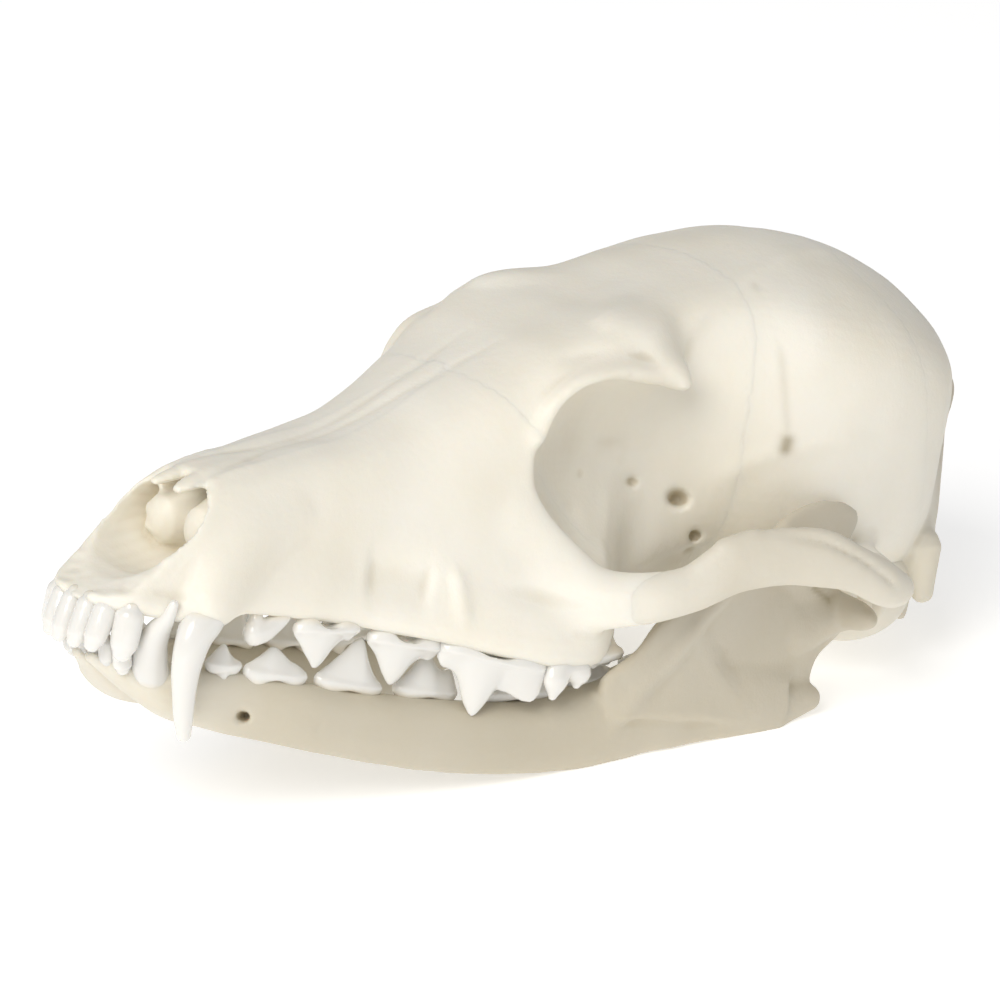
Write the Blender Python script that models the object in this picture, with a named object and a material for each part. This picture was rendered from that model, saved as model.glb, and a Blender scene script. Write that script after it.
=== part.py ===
# Skull of a red fox with its lower jaw closed, life-size, lying as it rests on the jaw.
# Sizes are in millimetres in the skull's own frame: X to the animal's left,
# Y backwards from the front incisors, Z up from the edge of the upper tooth sockets.
# At the end the whole skull is turned nose-up and set down on the floor.

import math

import bmesh
import bpy
import numpy as np
from mathutils import Matrix, Vector

MM = 0.001
REST_PITCH = math.radians(13.0)
PART_GAP = 0.3
VOXEL_SIZE = 0.8
FOOT_FLAT = 0.25
# Reach of the blocks that bound a bone, well past the whole skull.
ROOM = 200.0
UPPER_ROOT_LEAN = 1.7

BONE_COLOUR = (0.83, 0.78, 0.66, 1.0)
JAW_COLOUR = (0.80, 0.75, 0.64, 1.0)

# Cross-sections of the cranium from front to back. Each is half an outline:
# y, top, shoulder x z, side x z, lower edge x z, floor.
CRANIUM_SECTIONS = (
    (0.0, 1.5, 1.5, 1.1, 2.4, 0.5, 1.9, -0.4, -0.5),
    (1.2, 2.6, 3.2, 2.1, 4.5, 0.9, 4.1, -0.7, -0.7),
    (2.8, 4.4, 5.0, 3.4, 6.4, 1.5, 6.2, -0.8, -0.8),
    (5.8, 7.8, 6.0, 6.0, 7.3, 2.8, 6.9, -0.6, 0.4),
    (8.6, 11.4, 6.0, 9.4, 7.7, 5.4, 8.1, -0.3, 1.0),
    (11.0, 14.0, 5.6, 12.4, 8.2, 7.6, 9.9, 0.0, 1.4),
    (14.0, 15.5, 5.4, 14.2, 8.8, 8.6, 10.8, 0.4, 1.8),
    (20.0, 17.1, 6.2, 15.6, 9.5, 9.0, 10.9, 0.4, 2.2),
    (28.0, 19.0, 7.0, 17.6, 10.3, 10.0, 11.7, 0.0, 2.6),
    (35.0, 20.9, 7.9, 19.4, 11.1, 11.0, 13.0, -0.4, 3.0),
    (41.0, 23.6, 8.2, 21.4, 12.2, 12.0, 15.0, -0.9, 3.2),
    (48.0, 27.6, 9.6, 24.8, 13.8, 14.2, 17.6, -1.5, 3.4),
    (55.0, 31.2, 11.6, 28.8, 15.2, 16.6, 20.0, -2.4, 3.6),
    (62.0, 34.8, 13.3, 33.4, 15.8, 19.8, 21.4, -3.0, 3.8),
    (69.0, 37.8, 14.6, 36.9, 14.2, 23.0, 20.6, -2.8, 4.0),
    (75.0, 39.8, 14.6, 38.4, 10.4, 23.0, 16.6, -1.8, 4.4),
    (80.0, 41.6, 12.6, 39.4, 9.8, 22.0, 10.2, 3.4, 5.2),
    (86.0, 44.0, 12.6, 41.0, 12.2, 25.4, 10.4, 8.0, 6.0),
    (92.0, 46.2, 14.6, 41.6, 16.2, 27.0, 13.0, 11.6, 6.8),
    (98.0, 47.9, 17.8, 41.8, 20.2, 27.2, 16.8, 12.0, 7.2),
    (105.0, 49.0, 19.6, 41.6, 22.8, 27.0, 19.6, 11.6, 7.0),
    (114.0, 48.6, 20.2, 40.6, 23.2, 26.6, 19.6, 10.6, 6.2),
    (123.0, 46.4, 18.4, 38.6, 21.4, 26.0, 17.6, 9.6, 5.6),
    (131.0, 42.8, 13.2, 36.0, 14.4, 24.4, 13.8, 9.8, 5.4),
    (136.5, 39.6, 7.6, 34.0, 8.6, 23.6, 9.6, 10.4, 6.4),
    (140.0, 36.6, 4.4, 32.2, 5.2, 24.4, 6.0, 14.0, 11.0),
)
RING_POINTS = 36
RING_STEP = 1.5
CRANIUM_TRIANGLES = 4600
JAW_TRIANGLES = 1200
CRANIUM_SMOOTHING = 3
JAW_SMOOTHING = 2

# Eye socket, cut as an egg that leaves the front rim sharp.
SOCKET_CENTRE = (21.4, 69.8, 22.0)
SOCKET_RADII = (12.8, 14.2, 13.4)
SOCKET_TURN = math.radians(-6.0)

# Cheek arch: x, y, z, half height, half thickness along its centre line.
ARCH_PATH = (
    (13.4, 56.0, 12.6, 4.4, 2.6),
    (17.4, 60.6, 8.4, 4.4, 2.8),
    (21.4, 65.4, 5.8, 3.9, 2.8),
    (24.4, 70.6, 6.4, 3.3, 2.4),
    (26.9, 76.0, 8.3, 3.0, 2.0),
    (29.4, 81.0, 12.2, 3.6, 1.8),
    (31.6, 86.5, 13.9, 3.7, 1.8),
    (33.4, 91.5, 14.2, 3.7, 1.8),
    (34.6, 97.0, 13.2, 3.0, 2.0),
    (34.6, 102.5, 11.4, 2.8, 2.2),
    (32.6, 107.0, 10.4, 2.4, 2.6),
    (28.0, 109.8, 10.6, 2.2, 2.8),
    (22.0, 111.0, 11.0, 3.0, 3.0),
)
JUGAL_POINT = ((28.8, 80.6, 13.0, 2.6, 1.4), (29.8, 82.6, 15.6, 1.1, 0.9))
POSTORBITAL_POINT = (
    (8.6, 74.6, 37.4, 2.4, 6.6),
    (12.0, 76.4, 36.6, 1.9, 5.2),
    (15.0, 78.0, 34.3, 1.3, 3.2),
    (16.9, 79.0, 32.2, 1.1, 1.4),
)
# Bulges over the roots of the canines, and the wall between eye socket and throat.
UPPER_CANINE_ROOT = (
    (9.6, 12.6, 0.8, 3.3, 2.5),
    (8.6, 15.0, 4.6, 3.3, 2.6),
    (7.7, 19.4, 8.6, 2.8, 2.4),
    (6.8, 25.0, 11.6, 1.8, 2.0),
)
LOWER_CANINE_ROOT = (
    (5.4, 9.4, -10.2, 1.6, 2.1),
    (5.2, 11.6, -11.0, 2.2, 2.2),
    (5.2, 14.6, -11.8, 2.2, 2.1),
    (5.8, 19.0, -12.2, 1.8, 1.8),
)
PALATINE_WALL = (
    (9.6, 72.0, 8.0, 6.0, 2.2),
    (8.0, 79.0, 9.0, 6.6, 1.8),
    (7.4, 87.0, 9.0, 6.4, 1.7),
    (7.6, 95.0, 8.0, 5.2, 1.8),
)
NUCHAL_CREST = (
    (16.0, 126.0, 9.0, 2.4, 1.2),
    (15.6, 129.0, 15.0, 2.4, 1.1),
    (12.0, 132.2, 21.0, 2.6, 1.1),
    (7.0, 136.6, 26.6, 2.6, 1.2),
    (0.0, 142.6, 31.4, 3.2, 1.6),
    (-7.0, 136.6, 26.6, 2.6, 1.2),
    (-12.0, 132.2, 21.0, 2.6, 1.1),
    (-15.6, 129.0, 15.0, 2.4, 1.1),
    (-16.0, 126.0, 9.0, 2.4, 1.2),
)
MASTOID_POINT = ((17.0, 128.0, 12.0, 3.0, 3.0), (18.6, 128.6, 6.6, 1.6, 1.4))
PARAOCCIPITAL_POINT = ((12.6, 130.4, 9.0, 2.4, 2.0), (13.2, 131.2, 2.4, 0.9, 1.0))
POSTGLENOID_POINT = ((24.4, 112.6, 10.0, 1.6, 3.4), (24.4, 112.8, 5.0, 0.8, 2.0))
PTERYGOID_BLADE = (
    (7.4, 76.0, 3.4, 2.4, 1.2),
    (6.6, 84.0, 3.0, 3.6, 1.0),
    (6.0, 92.0, 2.8, 3.8, 1.0),
    (5.8, 98.0, 2.2, 3.2, 0.8),
)
CONDYLE_CENTRE = (6.0, 136.4, 9.6)
CONDYLE_RADII = (3.4, 4.0, 4.8)
SPINAL_HOLE_CENTRE = (0.0, 141.5, 13.6)
SPINAL_HOLE_RADII = (6.2, 11.0, 5.4)
# Nose opening: side view (y, z) of all that is open in front of its rim, then the hollow behind it.
NOSE_RIM = (
    (-4.0, 0.2),
    (1.0, 0.9),
    (3.0, 2.0),
    (5.2, 4.0),
    (8.1, 7.2),
    (11.0, 10.6),
    (14.3, 14.6),
    (14.3, 24.0),
    (-4.0, 24.0),
)
NOSE_RIM_HALF_WIDTH = 14.0
NOSE_CAVITY = (
    (0.0, 0.6, 3.0, 1.8, 3.6),
    (0.0, 2.4, 4.8, 3.4, 5.2),
    (0.0, 4.4, 6.6, 4.6, 6.0),
    (0.0, 7.0, 7.8, 5.0, 6.3),
    (0.0, 10.0, 8.2, 4.8, 6.3),
    (0.0, 13.0, 8.4, 4.4, 6.0),
    (0.0, 18.0, 8.4, 3.4, 4.6),
)
NASAL_TIP = (
    (1.8, 11.4, 13.4, 0.8, 1.0),
    (1.9, 13.0, 13.9, 1.0, 1.6),
    (2.1, 16.0, 14.8, 1.2, 2.0),
    (2.2, 21.0, 16.2, 1.2, 2.4),
)
BULLA_CENTRE = (12.4, 120.0, 6.2)
BULLA_RADII = (7.8, 10.0, 7.6)
BULLA_SIDES = 16

# Parting planes between the bones: y at the tooth line, lean of the plane.
FRONTAL_SEAM = (82.0, math.radians(45.0))
CORONAL_SEAM = (94.0, math.radians(4.0))
OCCIPITAL_SEAM = (128.0, math.radians(18.0))
ARCH_SEAM_X = 25.4
NASAL_FRONT_HALF = 4.3
NASAL_REAR_HALF = 2.6
NASAL_DEPTH = 2.6
NASAL_REAR_Y = 49.0
NASAL_REAR_TOP = 28.0
NASAL_TAPER = 0.7
# Height of the nose's back over the nasals: y, z.
NASAL_ROOF = ((4.0, 13.9), (12.0, 16.0), (28.0, 19.5), (41.0, 23.8))

# Lower jaw body: y, x, upper edge, lower edge, half thickness.
JAW_SECTIONS = (
    (2.4, 1.1, -7.0, -8.0, 0.8),
    (3.8, 1.8, -6.9, -9.2, 1.6),
    (5.8, 2.6, -7.0, -10.6, 2.4),
    (9.0, 3.8, -7.4, -12.5, 3.2),
    (14.0, 5.0, -7.4, -14.1, 3.5),
    (20.0, 6.6, -7.2, -15.2, 3.2),
    (28.0, 9.2, -8.0, -16.2, 3.1),
    (36.0, 11.0, -8.8, -17.2, 3.0),
    (46.0, 13.0, -9.2, -18.1, 3.1),
    (56.0, 15.0, -9.2, -18.3, 3.2),
    (64.0, 16.2, -8.4, -17.9, 3.1),
    (71.0, 17.4, -6.2, -17.2, 2.9),
    (78.0, 18.6, -2.8, -15.6, 2.6),
    (86.0, 20.0, -1.6, -13.2, 2.2),
    (94.0, 21.6, -3.0, -11.4, 1.9),
    (101.0, 22.6, -3.6, -10.4, 1.7),
)
# Upright plate of the jaw: z, x, front y, rear y, half thickness.
RAMUS_SECTIONS = (
    (-9.0, 21.4, 73.0, 103.0, 1.6),
    (-5.0, 21.8, 70.5, 106.0, 1.5),
    (-1.0, 22.2, 75.0, 106.8, 1.6),
    (3.0, 22.6, 77.4, 110.0, 1.7),
    (7.0, 23.2, 82.6, 107.6, 1.5),
    (11.0, 23.7, 87.0, 105.2, 1.5),
    (15.6, 24.1, 92.4, 106.6, 1.5),
    (17.6, 24.3, 94.6, 106.8, 1.3),
    (18.8, 24.4, 97.2, 105.6, 1.1),
    (19.5, 24.5, 100.0, 103.6, 0.8),
)
ANGULAR_HOOK = (
    (22.0, 97.0, -7.6, 2.4, 1.5),
    (22.6, 102.0, -7.6, 2.1, 1.4),
    (23.0, 106.4, -6.4, 1.6, 1.3),
)
JAW_JOINT_NECK = ((23.0, 101.0, 2.8, 3.0, 1.8), (24.2, 107.2, 4.6, 2.0, 2.0))
JAW_JOINT_CENTRE = (24.8, 107.4, 5.4)
JAW_JOINT_RADII = (5.6, 2.3, 2.1)
# The plate closes inwards by RAMUS_LEAN for each millimetre in front of RAMUS_LEAN_Y.
RAMUS_LEAN = 0.07
RAMUS_LEAN_Y = 88.0

# Teeth of one side. Incisors: x, y, half width, half depth, tip z, tip y shift.
UPPER_INCISORS = (
    (1.4, 0.9, 1.25, 1.2, -6.0, -1.2),
    (3.8, 1.6, 1.3, 1.3, -5.9, -1.2),
    (6.2, 3.2, 1.6, 1.6, -6.3, -0.3),
)
LOWER_INCISORS = (
    (0.95, 4.4, 0.75, 0.9, -4.1, -0.8),
    (2.6, 5.0, 0.85, 1.0, -4.1, -0.8),
    (4.3, 6.0, 1.0, 1.1, -4.3, -0.8),
)
UPPER_INCISOR_CROWN = 5.6
LOWER_INCISOR_CROWN = 3.6
UPPER_INCISOR_ROOT = 2.0
LOWER_INCISOR_ROOT = 2.2
# Canines: centre line from the root to the tip with half length and half width.
UPPER_CANINE = (
    (8.8, 14.6, 4.0, 2.2, 1.8),
    (9.9, 11.8, -0.7, 2.55, 2.15),
    (10.1, 10.8, -2.0, 2.45, 2.05),
    (10.3, 10.1, -4.2, 2.2, 1.85),
    (10.3, 10.0, -6.9, 1.88, 1.6),
    (10.2, 10.5, -9.7, 1.55, 1.32),
    (10.0, 11.3, -12.6, 1.3, 1.1),
    (9.9, 12.0, -14.9, 0.95, 0.82),
)
WORN_CANINE_STATIONS = 5
LOWER_CANINE = (
    (5.0, 11.6, -10.8, 1.6, 1.5),
    (5.2, 9.8, -9.2, 2.1, 1.85),
    (5.6, 8.4, -7.1, 2.35, 1.95),
    (6.2, 7.5, -4.9, 2.2, 1.8),
    (7.2, 7.3, -2.6, 1.7, 1.35),
    (8.5, 7.2, -0.8, 1.0, 0.8),
    (9.3, 7.1, 1.0, 0.6, 0.5),
)
# Cheek teeth: front end and rear end of the neck, half width, then cusps as
# (place along the tooth from 0 to 1, height over the neck).
UPPER_CHEEK = (
    ((10.0, 18.9, -0.9), (10.4, 24.5, -0.6), 1.5, ((0.38, 3.4),)),
    ((10.8, 26.0, -1.0), (12.1, 35.6, -0.5), 1.6, ((0.42, 5.4), (0.87, 2.0))),
    ((12.5, 37.2, -1.6), (14.6, 47.0, -2.1), 1.8, ((0.41, 5.9), (0.87, 2.3))),
    ((15.6, 47.4, -1.9), (20.0, 60.6, -3.4), 2.0, ((0.38, 8.1), (0.86, 4.9))),
)
LOWER_CHEEK = (
    ((7.8, 15.6, -6.9), (8.3, 20.6, -7.0), 1.2, ((0.42, 3.0),)),
    ((8.8, 20.9, -7.4), (10.1, 30.2, -7.9), 1.45, ((0.42, 3.7), (0.85, 1.7))),
    ((10.4, 31.4, -8.0), (11.6, 41.6, -8.9), 1.5, ((0.58, 6.2), (0.87, 2.1))),
    ((12.0, 43.4, -8.6), (12.9, 53.2, -9.0), 1.6, ((0.43, 4.8), (0.86, 3.2))),
    ((13.4, 54.2, -8.8), (15.2, 68.8, -8.0), 2.0, ((0.13, 3.9), (0.38, 4.9), (0.84, 2.0))),
    ((15.4, 69.4, -7.0), (16.8, 75.8, -5.2), 1.8, ((0.25, 1.9), (0.75, 1.7))),
    ((17.2, 76.8, -4.0), (17.8, 79.6, -3.0), 1.2, ((0.5, 1.2),)),
)
UPPER_CHEEK_ROOT = 2.0
MOLAR_ROOT = 3.0
LOWER_CHEEK_ROOT = 2.4
TALL_CUSP = 4.0
TALL_CUSP_REACH = 0.34
LOW_CUSP_REACH = 0.22
BLADE_END = 0.45
# Grinding teeth of the upper jaw: x, y, half width across, half length, neck z,
# cusps as (x shift, y shift, depth under the neck).
UPPER_MOLARS = (
    (16.9, 64.5, 4.8, 3.8, -3.6, ((3.9, -2.2, 3.7), (3.6, 1.9, 2.3), (-2.6, -0.4, 1.4))),
    (15.7, 71.5, 3.8, 2.7, -2.6, ((2.9, -1.0, 1.6), (2.6, 1.5, 1.3), (-1.6, 0.2, 0.9))),
)


def through(knots, values, at):
    # Smooth curve through the values: cubic pieces with slopes read from the neighbours.
    knots = np.asarray(knots, float)
    values = np.asarray(values, float)
    slopes = np.gradient(values, knots, axis=0)
    left = np.clip(np.searchsorted(knots, at) - 1, 0, len(knots) - 2)
    width = (knots[left + 1] - knots[left])[:, None]
    t = (np.asarray(at)[:, None] - knots[left][:, None]) / width
    start = (1 + 2 * t) * (1 - t) ** 2 * values[left]
    start += t * (1 - t) ** 2 * width * slopes[left]
    end = t * t * (3 - 2 * t) * values[left + 1]
    end += t * t * (t - 1) * width * slopes[left + 1]
    return start + end


def ring_through(corners, count):
    # Closed smooth ring through a few corner points, given in order.
    corners = np.asarray(corners, float)
    padded = np.vstack((corners[-3:], corners, corners[:3]))
    knots = np.arange(-3, len(corners) + 3)
    return through(knots, padded, np.arange(count) * len(corners) / count)


def solid_from_rings(name, rings):
    # Closed mesh: rings of equal length bridged in order, each end closed by a fan.
    shape = bmesh.new()
    loops = [[shape.verts.new(point) for point in ring] for ring in rings]
    count = len(loops[0])
    for first, second in zip(loops, loops[1:]):
        for i in range(count):
            j = (i + 1) % count
            shape.faces.new((first[i], first[j], second[j], second[i]))
    for loop in (loops[0], loops[-1]):
        middle = shape.verts.new(sum((v.co for v in loop), Vector()) / count)
        for i in range(count):
            shape.faces.new((loop[i], loop[(i + 1) % count], middle))
    bmesh.ops.recalc_face_normals(shape, faces=shape.faces)
    return add_object(name, shape)


def add_object(name, shape):
    mesh = bpy.data.meshes.new(name)
    shape.to_mesh(mesh)
    shape.free()
    thing = bpy.data.objects.new(name, mesh)
    bpy.context.collection.objects.link(thing)
    return thing


def swept(name, stations, side=1, step=1.2, sides=12):
    # Oval tube along a path of (x, y, z, half height, half thickness).
    table = np.array(stations, float)
    table[:, 0] *= side
    lengths = np.linalg.norm(np.diff(table[:, :3], axis=0), axis=1)
    along = np.concatenate(([0.0], np.cumsum(lengths)))
    count = max(4, int(along[-1] / step) + 1)
    fine = through(along, table, np.linspace(0.0, along[-1], count))
    centre = fine[:, :3]
    tangent = np.gradient(centre, axis=0)
    tangent /= np.linalg.norm(tangent, axis=1)[:, None]
    up = np.array((0.0, 0.0, 1.0))
    if np.abs(tangent[:, 2]).max() > 0.85:
        up = np.array((0.0, 1.0, 0.0))
    across = np.cross(up, tangent)
    across /= np.linalg.norm(across, axis=1)[:, None]
    upright = np.cross(tangent, across)
    turn = np.arange(sides) * 2 * math.pi / sides
    rings = centre[:, None] + fine[:, 3, None, None] * np.sin(turn)[None, :, None] * upright[:, None]
    rings = rings + fine[:, 4, None, None] * np.cos(turn)[None, :, None] * across[:, None]
    return solid_from_rings(name, rings)


def egg(name, centre, radii, turn=0.0, side=1, segments=28):
    shape = bmesh.new()
    bmesh.ops.create_uvsphere(shape, u_segments=segments, v_segments=segments // 2 + 1, radius=1.0)
    place = Matrix.Translation((centre[0] * side, centre[1], centre[2]))
    place = place @ Matrix.Rotation(turn * side, 4, "Z") @ Matrix.Diagonal((*radii, 1.0))
    shape.transform(place)
    return add_object(name, shape)


def block(name, low, high):
    shape = bmesh.new()
    bmesh.ops.create_cube(shape, size=1.0)
    size = [abs(b - a) for a, b in zip(low, high)]
    middle = [(a + b) / 2 for a, b in zip(low, high)]
    shape.transform(Matrix.Translation(middle) @ Matrix.Diagonal((*size, 1.0)))
    return add_object(name, shape)


def remove(things):
    for thing in things:
        bpy.data.objects.remove(thing, do_unlink=True)


def baked(thing):
    # Replaces the mesh by what the modifiers make of it.
    graph = bpy.context.evaluated_depsgraph_get()
    mesh = bpy.data.meshes.new_from_object(thing.evaluated_get(graph))
    thing.modifiers.clear()
    thing.data = mesh
    return thing


def combined(thing, others, operation, solver="MANIFOLD"):
    # One Boolean of a whole collection against the object; the collection is used up.
    group = bpy.data.collections.new(thing.name + "_pieces")
    for other in others:
        group.objects.link(other)
    step = thing.modifiers.new(operation.lower(), "BOOLEAN")
    step.operation = operation
    step.operand_type = "COLLECTION"
    step.collection = group
    step.solver = solver
    baked(thing)
    remove(others)
    bpy.data.collections.remove(group)
    return thing


def copied(thing, name):
    twin = bpy.data.objects.new(name, thing.data.copy())
    bpy.context.collection.objects.link(twin)
    return twin


def largest_surface_only(thing):
    shape = bmesh.new()
    shape.from_mesh(thing.data)
    left = set(shape.verts)
    groups = []
    while left:
        front = [left.pop()]
        group = set(front)
        while front:
            vertex = front.pop()
            for edge in vertex.link_edges:
                other = edge.other_vert(vertex)
                if other in left:
                    left.discard(other)
                    group.add(other)
                    front.append(other)
        groups.append(group)
    groups.sort(key=len, reverse=True)
    loose = [vertex for group in groups[1:] for vertex in group]
    bmesh.ops.delete(shape, geom=loose, context="VERTS")
    shape.to_mesh(thing.data)
    shape.free()
    return thing


def grown_together(thing, triangles, rounds):
    # Melts the joined pieces into one bone surface, then thins it to the wanted count.
    melt = thing.modifiers.new("melt", "REMESH")
    melt.mode = "VOXEL"
    melt.voxel_size = VOXEL_SIZE
    soften = thing.modifiers.new("soften", "SMOOTH")
    soften.factor = 0.5
    soften.iterations = rounds
    baked(thing)
    largest_surface_only(thing)
    thin = thing.modifiers.new("thin", "DECIMATE")
    thin.ratio = triangles / (2 * len(thing.data.polygons))
    return baked(thing)


def cranium():
    table = np.array(CRANIUM_SECTIONS, float)
    count = int((table[-1, 0] - table[0, 0]) / RING_STEP) + 1
    places = np.linspace(table[0, 0], table[-1, 0], count)
    rings = []
    for y, top, sx, sz, wx, wz, lx, lz, floor in through(table[:, 0], table, places):
        half = ((0.0, top), (sx, sz), (wx, wz), (lx, lz))
        outline = half + ((0.0, floor),) + tuple((-x, z) for x, z in half[:0:-1])
        ring = ring_through(outline, RING_POINTS)
        rings.append([(x, y, z) for x, z in ring])
    head = solid_from_rings("cranium", rings)
    sockets = [egg("socket", SOCKET_CENTRE, SOCKET_RADII, SOCKET_TURN, side) for side in (1, -1)]
    combined(head, sockets, "DIFFERENCE")
    pieces = [swept("nuchal", NUCHAL_CREST)]
    for side in (1, -1):
        pieces.append(swept("arch", ARCH_PATH, side))
        pieces.append(swept("jugal", JUGAL_POINT, side))
        pieces.append(swept("postorbital", POSTORBITAL_POINT, side))
        pieces.append(swept("mastoid", MASTOID_POINT, side))
        pieces.append(swept("paraoccipital", PARAOCCIPITAL_POINT, side))
        pieces.append(swept("postglenoid", POSTGLENOID_POINT, side))
        pieces.append(swept("pterygoid", PTERYGOID_BLADE, side))
        pieces.append(swept("palatine", PALATINE_WALL, side))
        pieces.append(swept("canine_root", UPPER_CANINE_ROOT, side))
        pieces.append(egg("condyle", CONDYLE_CENTRE, CONDYLE_RADII, 0.0, side))
    combined(head, pieces, "UNION")
    wide = NOSE_RIM_HALF_WIDTH
    hollows = [
        egg("spinal_hole", SPINAL_HOLE_CENTRE, SPINAL_HOLE_RADII),
        solid_from_rings("nose_rim", [[(x, y, z) for y, z in NOSE_RIM] for x in (-wide, wide)]),
        swept("nose_cavity", NOSE_CAVITY),
    ]
    combined(head, hollows, "DIFFERENCE")
    combined(head, [swept("nasal_tip", NASAL_TIP, side) for side in (1, -1)], "UNION")
    return grown_together(head, CRANIUM_TRIANGLES, CRANIUM_SMOOTHING)


def lower_jaw(side):
    table = np.array(JAW_SECTIONS, float)
    count = int((table[-1, 0] - table[0, 0]) / RING_STEP) + 1
    places = np.linspace(table[0, 0], table[-1, 0], count)
    turn = np.arange(16) * 2 * math.pi / 16
    rings = []
    for y, x, top, bottom, half in through(table[:, 0], table, places):
        middle = (top + bottom) / 2
        reach = (top - bottom) / 2
        ring_x = side * (x + half * np.sign(np.cos(turn)) * np.abs(np.cos(turn)) ** 0.8)
        ring_z = middle + reach * np.sin(turn)
        rings.append([(a, y, b) for a, b in zip(ring_x, ring_z)])
    jaw = solid_from_rings("jaw", rings)
    plate = np.array(RAMUS_SECTIONS, float)
    heights = np.linspace(plate[0, 0], plate[-1, 0], 20)
    rings = []
    for z, x, front, rear, half in through(plate[:, 0], plate, heights):
        ring_y = (front + rear) / 2 + (rear - front) / 2 * np.cos(turn)
        ring_x = side * (x + half * np.sin(turn) + RAMUS_LEAN * np.minimum(ring_y - RAMUS_LEAN_Y, 0.0))
        rings.append([(a, b, z) for a, b in zip(ring_x, ring_y)])
    pieces = [
        solid_from_rings("ramus", rings),
        swept("canine_root", LOWER_CANINE_ROOT, side),
        swept("hook", ANGULAR_HOOK, side),
        swept("neck", JAW_JOINT_NECK, side),
        egg("joint", JAW_JOINT_CENTRE, JAW_JOINT_RADII, 0.0, side),
    ]
    combined(jaw, pieces, "UNION")
    grown_together(jaw, JAW_TRIANGLES, JAW_SMOOTHING)
    outside = block("middle", (-side * ROOM, -ROOM, -ROOM), (side * PART_GAP / 2, ROOM, ROOM))
    return combined(jaw, [outside], "DIFFERENCE")


def tooth_rings(levels, sides=8):
    # Levels: centre x y z, half width along x, half length along y.
    turn = np.arange(sides) * 2 * math.pi / sides
    rings = []
    for x, y, z, across, along in levels:
        rings.append([(x + across * math.cos(a), y + along * math.sin(a), z) for a in turn])
    return rings


def incisors(sizes, side, crown, root, grow):
    # Spade-shaped front teeth; grow is -1 for teeth that point down.
    made = []
    for x, y, half_width, half_depth, tip, lean in sizes:
        neck = tip - grow * crown
        base = neck - grow * root
        levels = (
            (side * x * 0.9, y + 0.8, base, half_width * 0.6, half_depth * 0.6),
            (side * x, y + 0.2, neck, half_width * 0.85, half_depth),
            (side * x, y + lean * 0.5, neck + grow * 2.4, half_width, half_depth * 0.95),
            (side * x, y + lean, tip - grow * 1.0, half_width * 0.95, half_depth * 0.6),
            (side * x, y + lean, tip, half_width * 0.5, half_depth * 0.25),
        )
        made.append(solid_from_rings("incisor", tooth_rings(levels, 6)))
    return made


def canine(path, side):
    levels = [(side * x, y, z, across, along) for x, y, z, along, across in path]
    return solid_from_rings("canine", tooth_rings(levels, 8))


def cheek_teeth(sizes, side, grow, root, lean):
    # Cutting cheek teeth: one blade each, whose edge rises to a point at every cusp.
    # The root leans to the middle of the skull, to stay under the bone.
    made = []
    for front, rear, half, cusps in sizes:
        stops = [0.0] + [place for place, height in cusps] + [1.0]
        valleys = [(a + b) / 2 for a, b in zip(stops, stops[1:])]
        rings = []
        for place in sorted(stops + valleys):
            edge = 1.0
            for spot, height in cusps:
                slope = abs(place - spot) / (TALL_CUSP_REACH if height > TALL_CUSP else LOW_CUSP_REACH)
                edge = max(edge, height * (1.0 - slope))
            swell = half * (BLADE_END if place in (0.0, 1.0) else 1.0)
            x, y, neck = Vector(front).lerp(Vector(rear), place)
            base = neck - grow * root
            waist = neck + grow * edge * 0.5
            rings.append((
                (side * (x - lean) - swell * 0.7, y, base),
                (side * x - swell, y, neck),
                (side * x - swell * 0.7, y, waist),
                (side * x, y, neck + grow * edge),
                (side * x + swell * 0.7, y, waist),
                (side * x + swell, y, neck),
                (side * (x - lean) + swell * 0.7, y, base),
            ))
        made.append(solid_from_rings("cheek_tooth", rings))
    return made


def molars(sizes, side):
    # Grinding teeth: a low drum with its cusps and its root.
    made = []
    root = MOLAR_ROOT
    for x, y, across, along, neck, cusps in sizes:
        levels = (
            (side * (x - UPPER_ROOT_LEAN), y, neck + root, across * 0.8, along * 0.8),
            (side * x, y, neck + 0.2, across, along),
            (side * x, y, neck - 1.0, across * 0.85, along * 0.85),
        )
        made.append(solid_from_rings("molar", tooth_rings(levels, 8)))
        for dx, dy, depth in cusps:
            levels = (
                (side * (x + dx * 0.8), y + dy * 0.8, neck + root * 0.3, 1.2, 1.5),
                (side * (x + dx), y + dy, neck - depth * 0.4, 1.3, 1.7),
                (side * (x + dx), y + dy, neck - depth, 0.4, 0.5),
            )
            made.append(solid_from_rings("cusp", tooth_rings(levels, 5)))
    return made


def slab(name, seam, near, far):
    # Room on one side of a leaning parting plane, reaching from near to far along Y.
    place, lean = seam
    room = block(name, (-ROOM, near, -ROOM), (ROOM, far, ROOM))
    room.data.transform(Matrix.Translation((0, place, 0)) @ Matrix.Rotation(lean, 4, "X"))
    return room


def finish(thing, colour, roughness):
    material = bpy.data.materials.new(thing.name + "_bone")
    material.use_nodes = True
    shader = material.node_tree.nodes["Principled BSDF"]
    shader.inputs["Base Color"].default_value = colour
    shader.inputs["Roughness"].default_value = roughness
    shader.inputs["Metallic"].default_value = 0.0
    thing.data.materials.clear()
    thing.data.materials.append(material)
    thing.data.shade_smooth()
    thing.data.set_sharp_from_angle(angle=math.radians(50))


def nasal_wedge(name, clearance):
    # Tapered strip over the nose that holds the two nasal bones.
    front = NASAL_FRONT_HALF + clearance
    rear = NASAL_REAR_HALF + clearance
    last = NASAL_REAR_Y + clearance
    rings = []
    ends = [y for y, top in NASAL_ROOF] + [last]
    tops = [top for y, top in NASAL_ROOF] + [NASAL_REAR_TOP]
    for y, half, top in zip(ends, (front, front, rear, rear, rear * NASAL_TAPER), tops):
        low = top - NASAL_DEPTH - clearance
        rings.append([(-half, y, low), (half, y, low), (half, y, ROOM), (-half, y, ROOM)])
    return solid_from_rings(name, rings)


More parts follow.
